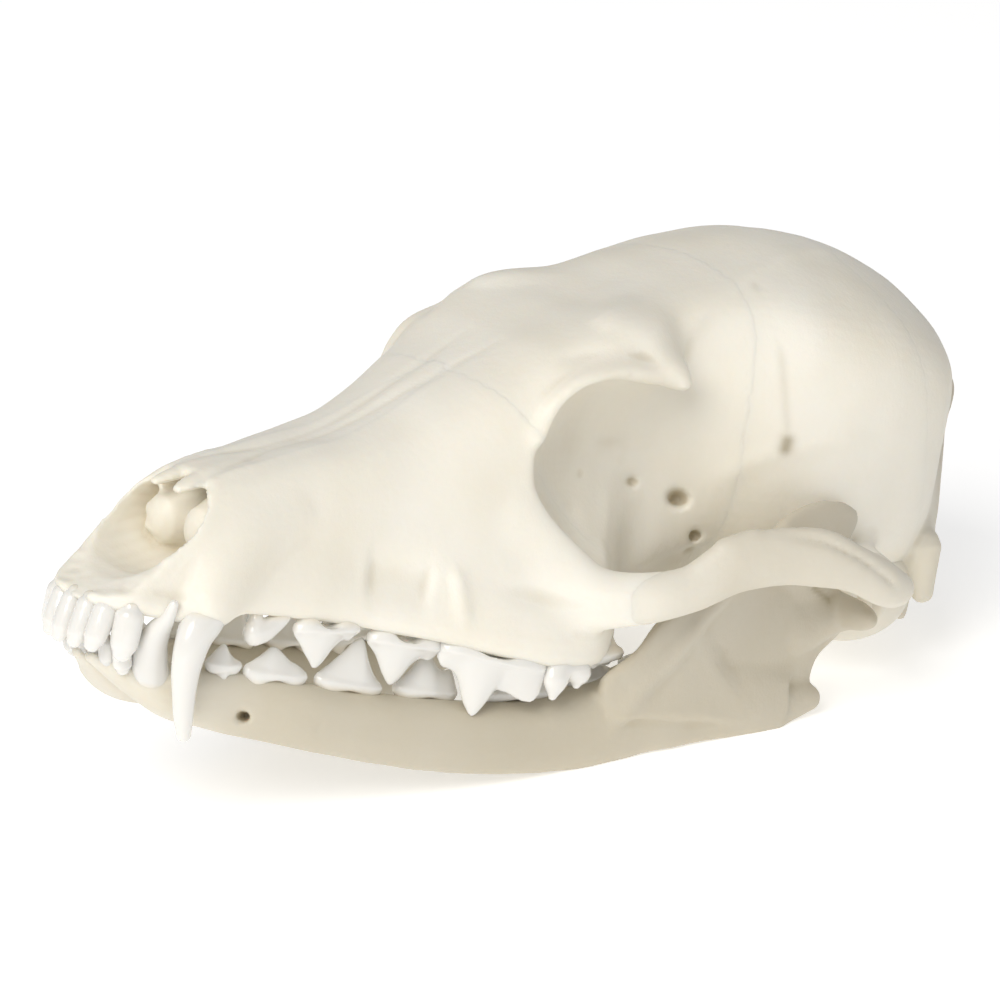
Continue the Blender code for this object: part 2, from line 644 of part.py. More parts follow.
def bones_of_the_cranium():
    head = cranium()
    half_gap = PART_GAP / 2
    bones = []
    for side, word in ((1, "left"), (-1, "right")):
        cheek = copied(head, "zygomatic_arch_" + word)
        inner = block("inner", (-side * ROOM, -ROOM, -ROOM), (side * (ARCH_SEAM_X + half_gap), ROOM, ROOM))
        combined(cheek, [inner], "DIFFERENCE")
        bones.append(largest_surface_only(cheek))
    sides = [
        block("left_room", (ARCH_SEAM_X - half_gap, -ROOM, -ROOM), (ROOM, ROOM, ROOM)),
        block("right_room", (-ROOM, -ROOM, -ROOM), (-ARCH_SEAM_X + half_gap, ROOM, ROOM)),
    ]
    combined(head, sides, "DIFFERENCE")
    shells = []
    for side, word in ((1, "left"), (-1, "right")):
        bulla = egg("auditory_bulla_" + word, BULLA_CENTRE, BULLA_RADII, 0.0, side, BULLA_SIDES)
        radii = [r + PART_GAP for r in BULLA_RADII]
        shells.append(egg("bulla_room", BULLA_CENTRE, radii, 0.0, side))
        bones.append(bulla)
    combined(head, shells, "DIFFERENCE")
    largest_surface_only(head)
    muzzle = copied(head, "muzzle")
    combined(muzzle, [slab("behind", FRONTAL_SEAM, -half_gap, ROOM)], "DIFFERENCE")
    frontal = copied(head, "frontal")
    rooms = [slab("ahead", FRONTAL_SEAM, -ROOM, half_gap), slab("behind", CORONAL_SEAM, -half_gap, ROOM)]
    combined(frontal, rooms, "DIFFERENCE")
    braincase = copied(head, "braincase")
    rooms = [slab("ahead", CORONAL_SEAM, -ROOM, half_gap), slab("behind", OCCIPITAL_SEAM, -half_gap, ROOM)]
    combined(braincase, rooms, "DIFFERENCE")
    combined(head, [slab("ahead", OCCIPITAL_SEAM, -ROOM, half_gap)], "DIFFERENCE")
    head.name = "occiput"
    nasals = copied(muzzle, "nasal_bones")
    combined(nasals, [nasal_wedge("wedge", 0.0)], "INTERSECT")
    combined(muzzle, [nasal_wedge("wedge", PART_GAP)], "DIFFERENCE")
    teeth = []
    for side in (1, -1):
        teeth += incisors(UPPER_INCISORS, side, UPPER_INCISOR_CROWN, UPPER_INCISOR_ROOT, -1)
        kept = len(UPPER_CANINE) if side > 0 else WORN_CANINE_STATIONS
        teeth.append(canine(UPPER_CANINE[:kept], side))
        teeth += cheek_teeth(UPPER_CHEEK, side, -1, UPPER_CHEEK_ROOT, UPPER_ROOT_LEAN)
        teeth += molars(UPPER_MOLARS, side)
    return bones, muzzle, nasals, frontal, braincase, head, teeth


for old in list(bpy.data.objects):
    bpy.data.objects.remove(old, do_unlink=True)

bones, muzzle, nasals, frontal, braincase, occiput, upper_teeth = bones_of_the_cranium()
combined(muzzle, upper_teeth, "UNION")
nodes = bones + [muzzle, nasals, frontal, braincase, occiput]
for thing in nodes:
    largest_surface_only(thing)
    finish(thing, BONE_COLOUR, 0.5)
for side, word in ((1, "left"), (-1, "right")):
    jaw = lower_jaw(side)
    jaw.name = "mandible_" + word
    teeth = incisors(LOWER_INCISORS, side, LOWER_INCISOR_CROWN, LOWER_INCISOR_ROOT, 1)
    teeth.append(canine(LOWER_CANINE, side))
    teeth += cheek_teeth(LOWER_CHEEK, side, 1, LOWER_CHEEK_ROOT, 0.0)
    combined(jaw, teeth, "UNION")
    largest_surface_only(jaw)
    finish(jaw, JAW_COLOUR, 0.5)
    nodes.append(jaw)

turned = Matrix.Rotation(-REST_PITCH, 4, "X")
spots = [turned @ vertex.co for thing in nodes for vertex in thing.data.vertices]
lowest = min(spot.z for spot in spots) + FOOT_FLAT
middle = (min(spot.y for spot in spots) + max(spot.y for spot in spots)) / 2
for thing in nodes:
    thing.data.transform(Matrix.Translation((0, -middle, -lowest)) @ turned)
for jaw in nodes[-2:]:
    combined(jaw, [block("floor", (-ROOM, -ROOM, -ROOM), (ROOM, ROOM, 0.0))], "DIFFERENCE")
    finish(jaw, JAW_COLOUR, 0.5)
for thing in nodes:
    thing.data.transform(Matrix.Scale(MM, 4))
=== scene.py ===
import math

import bpy
import numpy as np
import openvdb as vdb
from mathutils import Matrix, Vector


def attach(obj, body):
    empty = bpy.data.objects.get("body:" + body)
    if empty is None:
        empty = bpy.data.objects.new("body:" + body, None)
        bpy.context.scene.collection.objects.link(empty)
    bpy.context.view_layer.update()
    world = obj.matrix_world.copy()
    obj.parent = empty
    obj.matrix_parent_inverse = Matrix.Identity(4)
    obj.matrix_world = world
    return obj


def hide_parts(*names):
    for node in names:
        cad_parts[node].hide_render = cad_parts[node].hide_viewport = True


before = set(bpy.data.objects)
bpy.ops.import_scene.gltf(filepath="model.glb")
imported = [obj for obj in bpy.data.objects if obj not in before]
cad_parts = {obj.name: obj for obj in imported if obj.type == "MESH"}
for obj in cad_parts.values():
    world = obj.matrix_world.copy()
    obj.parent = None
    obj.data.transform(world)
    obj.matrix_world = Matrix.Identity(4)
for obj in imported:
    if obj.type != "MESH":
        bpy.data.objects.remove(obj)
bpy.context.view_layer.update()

# Everything is drawn in millimetres in the skull's own frame: x to the animal's left,
# y backwards from the front teeth, z up from the edge of the upper tooth sockets.
# intoTheRoom turns that frame nose-up and sets it on the floor, in metres.
pose = {
    "pitch": math.radians(13.0),      # nose-up turn of the skull at rest
    "middleY": 73.426,                # middle of the skull's length after the turn
    "floorZ": -32.486,                # lowest point of the jaws after the turn
    "metres": 0.001,
}


def intoTheRoom(points):
    # y' = y cos p + z sin p - middle, z' = z cos p - y sin p - floor, both in metres
    points = np.asarray(points, float)
    c = math.cos(pose["pitch"])
    s = math.sin(pose["pitch"])
    turned = np.stack((
        points[..., 0],
        points[..., 1] * c + points[..., 2] * s - pose["middleY"],
        points[..., 2] * c - points[..., 1] * s - pose["floorZ"],
    ), axis=-1)
    return turned * pose["metres"]


# ---- surfaces


def through(knots, values, at):
    # cubic pieces through the values, with slopes taken from the neighbours
    knots = np.asarray(knots, float)
    values = np.asarray(values, float)
    at = np.asarray(at, float)
    slopes = np.gradient(values, knots, axis=0)
    left = np.clip(np.searchsorted(knots, at) - 1, 0, len(knots) - 2)
    width = (knots[left + 1] - knots[left])[:, None]
    t = (at[:, None] - knots[left][:, None]) / width
    start = (1 + 2 * t) * (1 - t) ** 2 * values[left] + t * (1 - t) ** 2 * width * slopes[left]
    end = t * t * (3 - 2 * t) * values[left + 1] + t * t * (t - 1) * width * slopes[left + 1]
    return start + end


def closedShell(rings):
    # rings (n, m, 3) bridged in order, each end closed by a fan to its middle
    n, m = rings.shape[:2]
    points = np.concatenate((rings.reshape(-1, 3), rings[:1].mean(1), rings[-1:].mean(1)))
    i = np.arange(n - 1)[:, None] * m
    j = np.arange(m)[None, :]
    k = (j + 1) % m
    quads = np.stack(np.broadcast_arrays(i + j, i + k, i + m + k, i + m + j), -1).reshape(-1, 4)
    around = np.arange(m)
    nextOne = (around + 1) % m
    first = np.stack((nextOne, around, np.full(m, n * m)), -1)
    last = np.stack((around + (n - 1) * m, nextOne + (n - 1) * m, np.full(m, n * m + 1)), -1)
    return points, np.concatenate((first, last)), quads


def lofted(sections, ringSize=80, step=0.7):
    # half outlines (y, top, then x z pairs, floor) mirrored, rounded by a cubic ring, and joined along y
    table = np.array(sections, float)
    places = np.arange(table[0, 0], table[-1, 0] + step * 0.5, step)
    fine = through(table[:, 0], table, np.minimum(places, table[-1, 0]))
    pairs = (table.shape[1] - 3) // 2
    zero = np.zeros(len(fine))
    right = [np.stack((-fine[:, 2 + 2 * p], fine[:, 3 + 2 * p]), -1) for p in range(pairs)][::-1]
    left = [np.stack((fine[:, 2 + 2 * p], fine[:, 3 + 2 * p]), -1) for p in range(pairs)]
    corners = [np.stack((zero, fine[:, 1]), -1)] + left + [np.stack((zero, fine[:, -1]), -1)] + right
    corners = np.stack(corners, 0)
    count = len(corners)
    padded = np.concatenate((corners[-3:], corners, corners[:3])).reshape(count + 6, -1)
    ring = through(np.arange(-3, count + 3), padded, np.arange(ringSize) * count / ringSize)
    ring = ring.reshape(ringSize, len(fine), 2)
    y = np.broadcast_to(fine[:, 0], ring.shape[:2])
    return closedShell(np.stack((ring[..., 0], y, ring[..., 1]), -1).transpose(1, 0, 2))


def swept(path, side=1, step=0.5, sides=24, roundEnds=True):
    # oval tube: centre c(s) + height(s) sin t * upright(s) + width(s) cos t * across(s)
    table = np.array(path, float)
    table[:, 0] *= side
    along = np.concatenate(([0.0], np.cumsum(np.linalg.norm(np.diff(table[:, :3], axis=0), axis=1))))
    count = max(6, int(along[-1] / step) + 1)
    fine = through(along, table, np.linspace(0.0, along[-1], count))
    fine[:, 3:] = np.maximum(fine[:, 3:], 0.12)
    centre = fine[:, :3]
    tangent = np.gradient(centre, axis=0)
    tangent /= np.linalg.norm(tangent, axis=1)[:, None]
    if roundEnds:
        bend = np.radians((85.0, 60.0, 30.0))
        cap = np.sin(bend)[:, None] * min(fine[0, 3:])
        front = np.concatenate((centre[:1] - tangent[:1] * cap, fine[:1, 3:] * np.cos(bend)[:, None]), 1)
        cap = np.sin(bend[::-1])[:, None] * min(fine[-1, 3:])
        back = np.concatenate((centre[-1:] + tangent[-1:] * cap, fine[-1:, 3:] * np.cos(bend[::-1])[:, None]), 1)
        fine = np.concatenate((front, fine, back))
        tangent = np.concatenate((np.repeat(tangent[:1], 3, 0), tangent, np.repeat(tangent[-1:], 3, 0)))
    up = np.array((0.0, 1.0, 0.0) if np.abs(tangent[:, 2]).max() > 0.85 else (0.0, 0.0, 1.0))
    across = np.cross(up, tangent)
    across /= np.linalg.norm(across, axis=1)[:, None]
    upright = np.cross(tangent, across)
    turn = np.arange(sides) * 2 * math.pi / sides
    rings = fine[:, None, :3] + fine[:, 3, None, None] * np.sin(turn)[None, :, None] * upright[:, None]
    rings = rings + fine[:, 4, None, None] * np.cos(turn)[None, :, None] * across[:, None]
    return closedShell(rings)


def egg(centre, radii, turn=0.0, side=1, sides=40):
    # sphere stretched to the three radii and turned about z
    tall = np.linspace(0.03, math.pi - 0.03, sides // 2)
    flat = np.arange(sides) * 2 * math.pi / sides
    rings = np.stack((
        np.sin(tall)[:, None] * np.cos(flat) * radii[0],
        np.sin(tall)[:, None] * np.sin(flat) * radii[1],
        np.broadcast_to(np.cos(tall)[:, None] * radii[2], (len(tall), sides)),
    ), -1)
    c = math.cos(turn * side)
    s = math.sin(turn * side)
    spun = np.stack((
        rings[..., 0] * c - rings[..., 1] * s + centre[0] * side,
        rings[..., 0] * s + rings[..., 1] * c + centre[1],
        rings[..., 2] + centre[2],
    ), -1)
    return closedShell(spun)


# ---- melting pieces into one bone


def distanceField(low, high, voxel, band=7.0):
    size = np.ceil((np.asarray(high, float) - low) / voxel).astype(int) + 1
    return {
        "low": np.asarray(low, float),
        "voxel": voxel,
        "band": band,
        "values": np.full(size, band * voxel, np.float32),
    }


def distanceTo(field, shell):
    # signed distance to a closed shell inside the window that it fills, and that window
    points, triangles, quads = shell
    voxel = field["voxel"]
    local = (points - field["low"]).astype(np.float32)
    lattice = vdb.createLinearTransform(voxelSize=voxel)
    grid = vdb.FloatGrid.createLevelSetFromPolygons(
        local, triangles=triangles.astype(np.uint32), quads=quads.astype(np.uint32),
        transform=lattice, halfWidth=field["band"])
    margin = int(field["band"]) + 1
    first = np.maximum(np.floor(local.min(0) / voxel).astype(int) - margin, 0)
    last = np.minimum(np.ceil(local.max(0) / voxel).astype(int) + margin, field["values"].shape)
    window = np.zeros(np.maximum(last - first, 1), np.float32)
    grid.copyToArray(window, ijk=tuple(int(v) for v in first))
    return window, tuple(slice(int(a), int(b)) for a, b in zip(first, last))


def softLeast(a, b, blend):
    # the lesser of two distances, rounded where they meet
    if blend <= 0.0:
        return np.minimum(a, b)
    h = np.clip(0.5 + 0.5 * (b - a) / blend, 0.0, 1.0)
    return b + (a - b) * h - blend * h * (1.0 - h)


def addShell(field, shell, blend):
    window, place = distanceTo(field, shell)
    field["values"][place] = softLeast(field["values"][place], window, blend)


def carveShell(field, shell, blend, rough=0.0):
    # takes the shell's inside away; rough waves its wall in and out by that many millimetres
    window, place = distanceTo(field, shell)
    if rough > 0.0:
        window = window + rough * waves(placesIn(field, place).reshape(-1, 3), 2.6, 11).reshape(window.shape)
    field["values"][place] = -softLeast(-field["values"][place], window, blend)


def placesIn(field, place):
    # the grid points of a window, in millimetres
    axes = [field["low"][i] + np.arange(place[i].start, place[i].stop) * field["voxel"] for i in range(3)]
    return np.stack(np.meshgrid(*axes, indexing="ij"), -1)


def windowOf(field, low, high):
    first = np.floor((np.asarray(low, float) - field["low"]) / field["voxel"]).astype(int)
    last = np.ceil((np.asarray(high, float) - field["low"]) / field["voxel"]).astype(int) + 1
    first = np.clip(first, 0, field["values"].shape)
    last = np.clip(last, first, field["values"].shape)
    return tuple(slice(int(a), int(b)) for a, b in zip(first, last))


def stroke(field, path, width, height):
    # raises (or sinks) the surface along a line: distance - height * exp(-(gap / width)^2)
    path = np.asarray(path, float)
    place = windowOf(field, path.min(0) - width * 2.4, path.max(0) + width * 2.4)
    spots = placesIn(field, place)
    gap, share = nearness(spots.reshape(-1, 3), path)
    fade = np.clip(np.minimum(share, 1.0 - share) * 5.0 + 0.3, 0.0, 1.0)
    lift = height * fade * np.exp(-(gap / width) ** 2)
    field["values"][place] -= lift.reshape(spots.shape[:3]).astype(np.float32)


def fieldMesh(field, values=None, low=None):
    values = field["values"] if values is None else values
    low = field["low"] if low is None else low
    lattice = vdb.createLinearTransform(voxelSize=field["voxel"])
    grid = vdb.FloatGrid(field["band"] * field["voxel"])
    grid.copyFromArray(np.ascontiguousarray(values, dtype=np.float32))
    grid.transform = lattice
    points, triangles, quads = grid.convertToPolygons(isovalue=0.0, adaptivity=0.0)
    return points.astype(float) + low, quads.astype(int)


def biggestBody(points, quads):
    # labels spread along the quads until every body has one; the biggest one stays
    label = np.arange(len(points))
    while True:
        least = label[quads].min(1)
        fresh = label.copy()
        np.minimum.at(fresh, quads.ravel(), np.repeat(least, 4))
        fresh = fresh[fresh]
        if (fresh == label).all():
            break
        label = fresh
    names, counts = np.unique(label, return_counts=True)
    keep = label == names[counts.argmax()]
    order = np.cumsum(keep) - 1
    return points[keep], order[quads[keep[quads[:, 0]]]]


def faceNormals(points, quads):
    a, b, c, d = (points[quads[:, i]] for i in range(4))
    return np.cross(c - a, d - b)


def vertexNormals(points, quads):
    faces = np.repeat(faceNormals(points, quads), 4, axis=0)
    flat = quads.ravel()
    normals = np.stack([np.bincount(flat, faces[:, i], len(points)) for i in range(3)], -1)
    return normals / np.maximum(np.linalg.norm(normals, axis=1)[:, None], 1e-12)


def relaxed(points, quads, rounds, strength=0.5, swell=0.53):
    # each point moves to the middle of its neighbours and back a little, so nothing shrinks
    start = quads.ravel()
    end = quads[:, (1, 2, 3, 0)].ravel()
    count = np.maximum(np.bincount(start, minlength=len(points)), 1)[:, None]
    for number in range(rounds * 2):
        middle = np.stack([np.bincount(start, points[end, i], len(points)) for i in range(3)], -1) / count
        points = points + (middle - points) * (strength if number % 2 == 0 else -swell)
    return points


def nearness(points, path):
    # distance of every point from a line of straight stretches, and how far along it lies
    path = np.asarray(path, float)
    best = np.full(len(points), 1e9)
    share = np.zeros(len(points))
    for number, (a, b) in enumerate(zip(path[:-1], path[1:])):
        run = b - a
        t = np.clip(((points - a) @ run) / (run @ run), 0.0, 1.0)
        gap = np.linalg.norm(points - (a + t[:, None] * run), axis=1)
        nearer = gap < best
        best[nearer] = gap[nearer]
        share[nearer] = (number + t[nearer]) / (len(path) - 1)
    return best, share


def waves(points, size, seed, count=18):
    # smooth unevenness between -1 and 1: a sum of plane waves of about one size
    rng = np.random.default_rng(seed)
    total = np.zeros(len(points))
    for number in range(count):
        direction = rng.normal(size=3)
        direction /= np.linalg.norm(direction)
        total += np.sin(points @ direction * 2 * math.pi / (size * rng.uniform(0.7, 1.4)) + rng.uniform(0, 6.28))
    return total / math.sqrt(count)


def mirrored(path, side):
    return np.asarray(path, float) * (side, 1.0, 1.0)


def meshPiece(name, points, quads, material, layers):
    mesh = bpy.data.meshes.new(name)
    mesh.vertices.add(len(points))
    mesh.vertices.foreach_set("co", intoTheRoom(points).astype(np.float32).ravel())
    mesh.loops.add(quads.size)
    mesh.loops.foreach_set("vertex_index", quads.astype(np.int32).ravel())
    mesh.polygons.add(len(quads))
    mesh.polygons.foreach_set("loop_start", np.arange(0, quads.size, quads.shape[1], dtype=np.int32))
    mesh.update(calc_edges=True)
    mesh.validate()
    mesh.shade_smooth()
    for word, values in layers.items():
        layer = mesh.attributes.new(word, "FLOAT", "POINT")
        layer.data.foreach_set("value", values.astype(np.float32))
    mesh.materials.append(material)
    piece = bpy.data.objects.new(name, mesh)
    bpy.context.scene.collection.objects.link(piece)
    return piece


def stained(points, stains):
    # brown of old tissue: the strongest of strength * exp(-(gap / width)^2) over all lines
    total = np.zeros(len(points))
    for path, width, strength in stains:
        for side in (1, -1):
            gap, share = nearness(points, mirrored(path, side))
            total = np.maximum(total, strength * np.exp(-(gap / width) ** 2))
    return total


def toneAndShadeOf(points, part):
    # slow change of tone along a bone, partly a real darker tone and partly painted shade: linear between (y, share
    # of the stain colour)
    return np.interp(points[:, 1], *zip(*toneAndShade[part]))


def hollowness(points, quads, rounds=12):
    # how far the surface lies under its own smoothed shape: 0 on ridges, 1 in pits
    smooth = points
    start = quads.ravel()
    end = quads[:, (1, 2, 3, 0)].ravel()
    count = np.maximum(np.bincount(start, minlength=len(points)), 1)[:, None]
    for number in range(rounds):
        smooth = np.stack([np.bincount(start, smooth[end, i], len(points)) for i in range(3)], -1) / count
    depth = ((smooth - points) * vertexNormals(points, quads)).sum(1)
    return np.clip(0.5 + depth * 1.6, 0.0, 1.0)


# ---- materials

boneLook = {
    "light": (0.87, 0.835, 0.745, 1.0),
    "warm": (0.83, 0.78, 0.66, 1.0),
    # brown that the bone's hollows are darkened towards: painted shade in pits and creases
    "pitShade": (0.56, 0.48, 0.33, 1.0),
    # dark brown for the real stains, also used for painted shade on the lower jaw, the cheek arch and the back of
    # the braincase
    "stainAndShade": (0.34, 0.285, 0.18, 1.0),
    "roughness": (0.42, 0.60),
    "grain": 900.0,                   # waves per metre of the fine bone grain
    "grainDepth": (0.25, 0.0003),     # bump strength and distance
    "patches": 55.0,                  # waves per metre of the slow colour patches
    "glow": (0.25, 0.0016, (1.0, 0.75, 0.5)),     # light let in: share, depth in metres, red green blue
    "specular": 0.45,
}
toothLook = {
    "crown": (0.79, 0.775, 0.735, 1.0),
    # colour of the roots and necks, also used as painted shade in the crown's hollows
    "neck": (0.80, 0.74, 0.62, 1.0),
    "roughness": 0.16,
    "grain": 500.0,
    "grainDepth": (0.08, 0.0002),
    "glow": (0.3, 0.0012, (1.0, 0.85, 0.7)),
    "coat": (0.35, 0.08),             # weight and roughness of the gloss on top
}


def newMaterial(name):
    material = bpy.data.materials.new(name)
    material.use_nodes = True
    nodes = material.node_tree.nodes
    shader = nodes["Principled BSDF"]
    return material, nodes, material.node_tree.links, shader


def mixColours(nodes, links, share, first, second):
    mix = nodes.new("ShaderNodeMix")
    mix.data_type = "RGBA"
    links.new(share, mix.inputs["Factor"])
    for socket, value in ((mix.inputs["A"], first), (mix.inputs["B"], second)):
        if isinstance(value, tuple):
            socket.default_value = value
        else:
            links.new(value, socket)
    return mix.outputs["Result"]


def noiseOf(nodes, links, where, scale, detail=3.0, roughness=0.5):
    noise = nodes.new("ShaderNodeTexNoise")
    noise.inputs["Scale"].default_value = scale
    noise.inputs["Detail"].default_value = detail
    noise.inputs["Roughness"].default_value = roughness
    links.new(where, noise.inputs["Vector"])
    return noise.outputs["Fac"]


def ranged(nodes, links, value, low, high, toLow, toHigh):
    step = nodes.new("ShaderNodeMapRange")
    step.inputs["From Min"].default_value = low
    step.inputs["From Max"].default_value = high
    step.inputs["To Min"].default_value = toLow
    step.inputs["To Max"].default_value = toHigh
    links.new(value, step.inputs["Value"])
    return step.outputs["Result"]


def grained(nodes, links, shader, grain, look):
    bump = nodes.new("ShaderNodeBump")
    bump.inputs["Strength"].default_value, bump.inputs["Distance"].default_value = look["grainDepth"]
    links.new(grain, bump.inputs["Height"])
    links.new(bump.outputs["Normal"], shader.inputs["Normal"])


def glowing(shader, look):
    share, depth, colours = look["glow"]
    shader.inputs["Subsurface Weight"].default_value = share
    shader.inputs["Subsurface Radius"].default_value = colours
    shader.inputs["Subsurface Scale"].default_value = depth


def shareFrom(nodes, name):
    layer = nodes.new("ShaderNodeAttribute")
    layer.attribute_name = name
    return layer.outputs["Fac"]


def boneMaterial():
    material, nodes, links, shader = newMaterial("cleaned_bone")
    where = nodes.new("ShaderNodeTexCoord").outputs["Object"]
    patches = ranged(nodes, links, noiseOf(nodes, links, where, boneLook["patches"], 4.0), 0.35, 0.7, 0.0, 1.0)
    colour = mixColours(nodes, links, patches, boneLook["light"], boneLook["warm"])
    # painted shade: the deeper the hollow, the more of the dark pit brown
    pitShading = ranged(nodes, links, shareFrom(nodes, "hollow"), 0.56, 1.0, 0.0, 0.7)
    colour = mixColours(nodes, links, pitShading, colour, boneLook["pitShade"])
    # real stains plus painted shade: the lower jaw, the cheek arch and the back of the braincase darkened along y
    colour = mixColours(nodes, links, shareFrom(nodes, "stainAndShade"), colour, boneLook["stainAndShade"])
    links.new(colour, shader.inputs["Base Color"])
    grain = noiseOf(nodes, links, where, boneLook["grain"], 6.0, 0.6)
    links.new(ranged(nodes, links, grain, 0.3, 0.7, *boneLook["roughness"]), shader.inputs["Roughness"])
    grained(nodes, links, shader, grain, boneLook)
    glowing(shader, boneLook)
    shader.inputs["Specular IOR Level"].default_value = boneLook["specular"]
    return material


def toothMaterial():
    material, nodes, links, shader = newMaterial("tooth_enamel")
    where = nodes.new("ShaderNodeTexCoord").outputs["Object"]
    # painted shade: the crown's hollows darkened towards the neck colour
    dipShade = ranged(nodes, links, shareFrom(nodes, "hollow"), 0.56, 0.9, 0.0, 0.5)
    colour = mixColours(nodes, links, dipShade, toothLook["crown"], toothLook["neck"])
    colour = mixColours(nodes, links, shareFrom(nodes, "root"), colour, toothLook["neck"])
    links.new(colour, shader.inputs["Base Color"])
    shader.inputs["Roughness"].default_value = toothLook["roughness"]
    grained(nodes, links, shader, noiseOf(nodes, links, where, toothLook["grain"]), toothLook)
    glowing(shader, toothLook)
    shader.inputs["Coat Weight"].default_value = toothLook["coat"][0]
    shader.inputs["Coat Roughness"].default_value = toothLook["coat"][1]
    return material


bone = boneMaterial()
enamel = toothMaterial()

# Tone along y as a share of the stain colour: partly the bones' own darker tan, partly painted shade where the
# lower jaw, the cheek arch and the back of the braincase get less light
toneAndShade = {
    "cranium": ((0.0, 0.0), (110.0, 0.0), (122.0, 0.12), (134.0, 0.45), (144.0, 0.66)),
    "cheekArch": ((0.0, 0.0), (64.0, 0.0), (80.0, 0.40), (96.0, 0.34), (110.0, 0.22)),
    "jaw": ((0.0, 0.18), (12.0, 0.22), (24.0, 0.50), (60.0, 0.60), (80.0, 0.55), (110.0, 0.58)),
}

# Stains: path, half width, strength
stains = (
    (((12.0, 93.4, 44.0), (18.0, 94.4, 36.0), (19.6, 96.4, 27.0)), 0.6, 0.18),
    (((19.6, 96.6, 25.9), (19.6, 96.5, 25.0)), 0.9, 0.8),
    (((24.4, 99.6, 4.2), (24.2, 98.6, 3.6)), 2.6, 0.4),
    (((24.6, 101.4, 8.2), (24.6, 104.5, 6.8)), 0.8, 0.9),
    (((24.0, 92.0, -6.0), (23.0, 84.0, -8.0)), 4.0, 0.15),
)

# ---- cranium

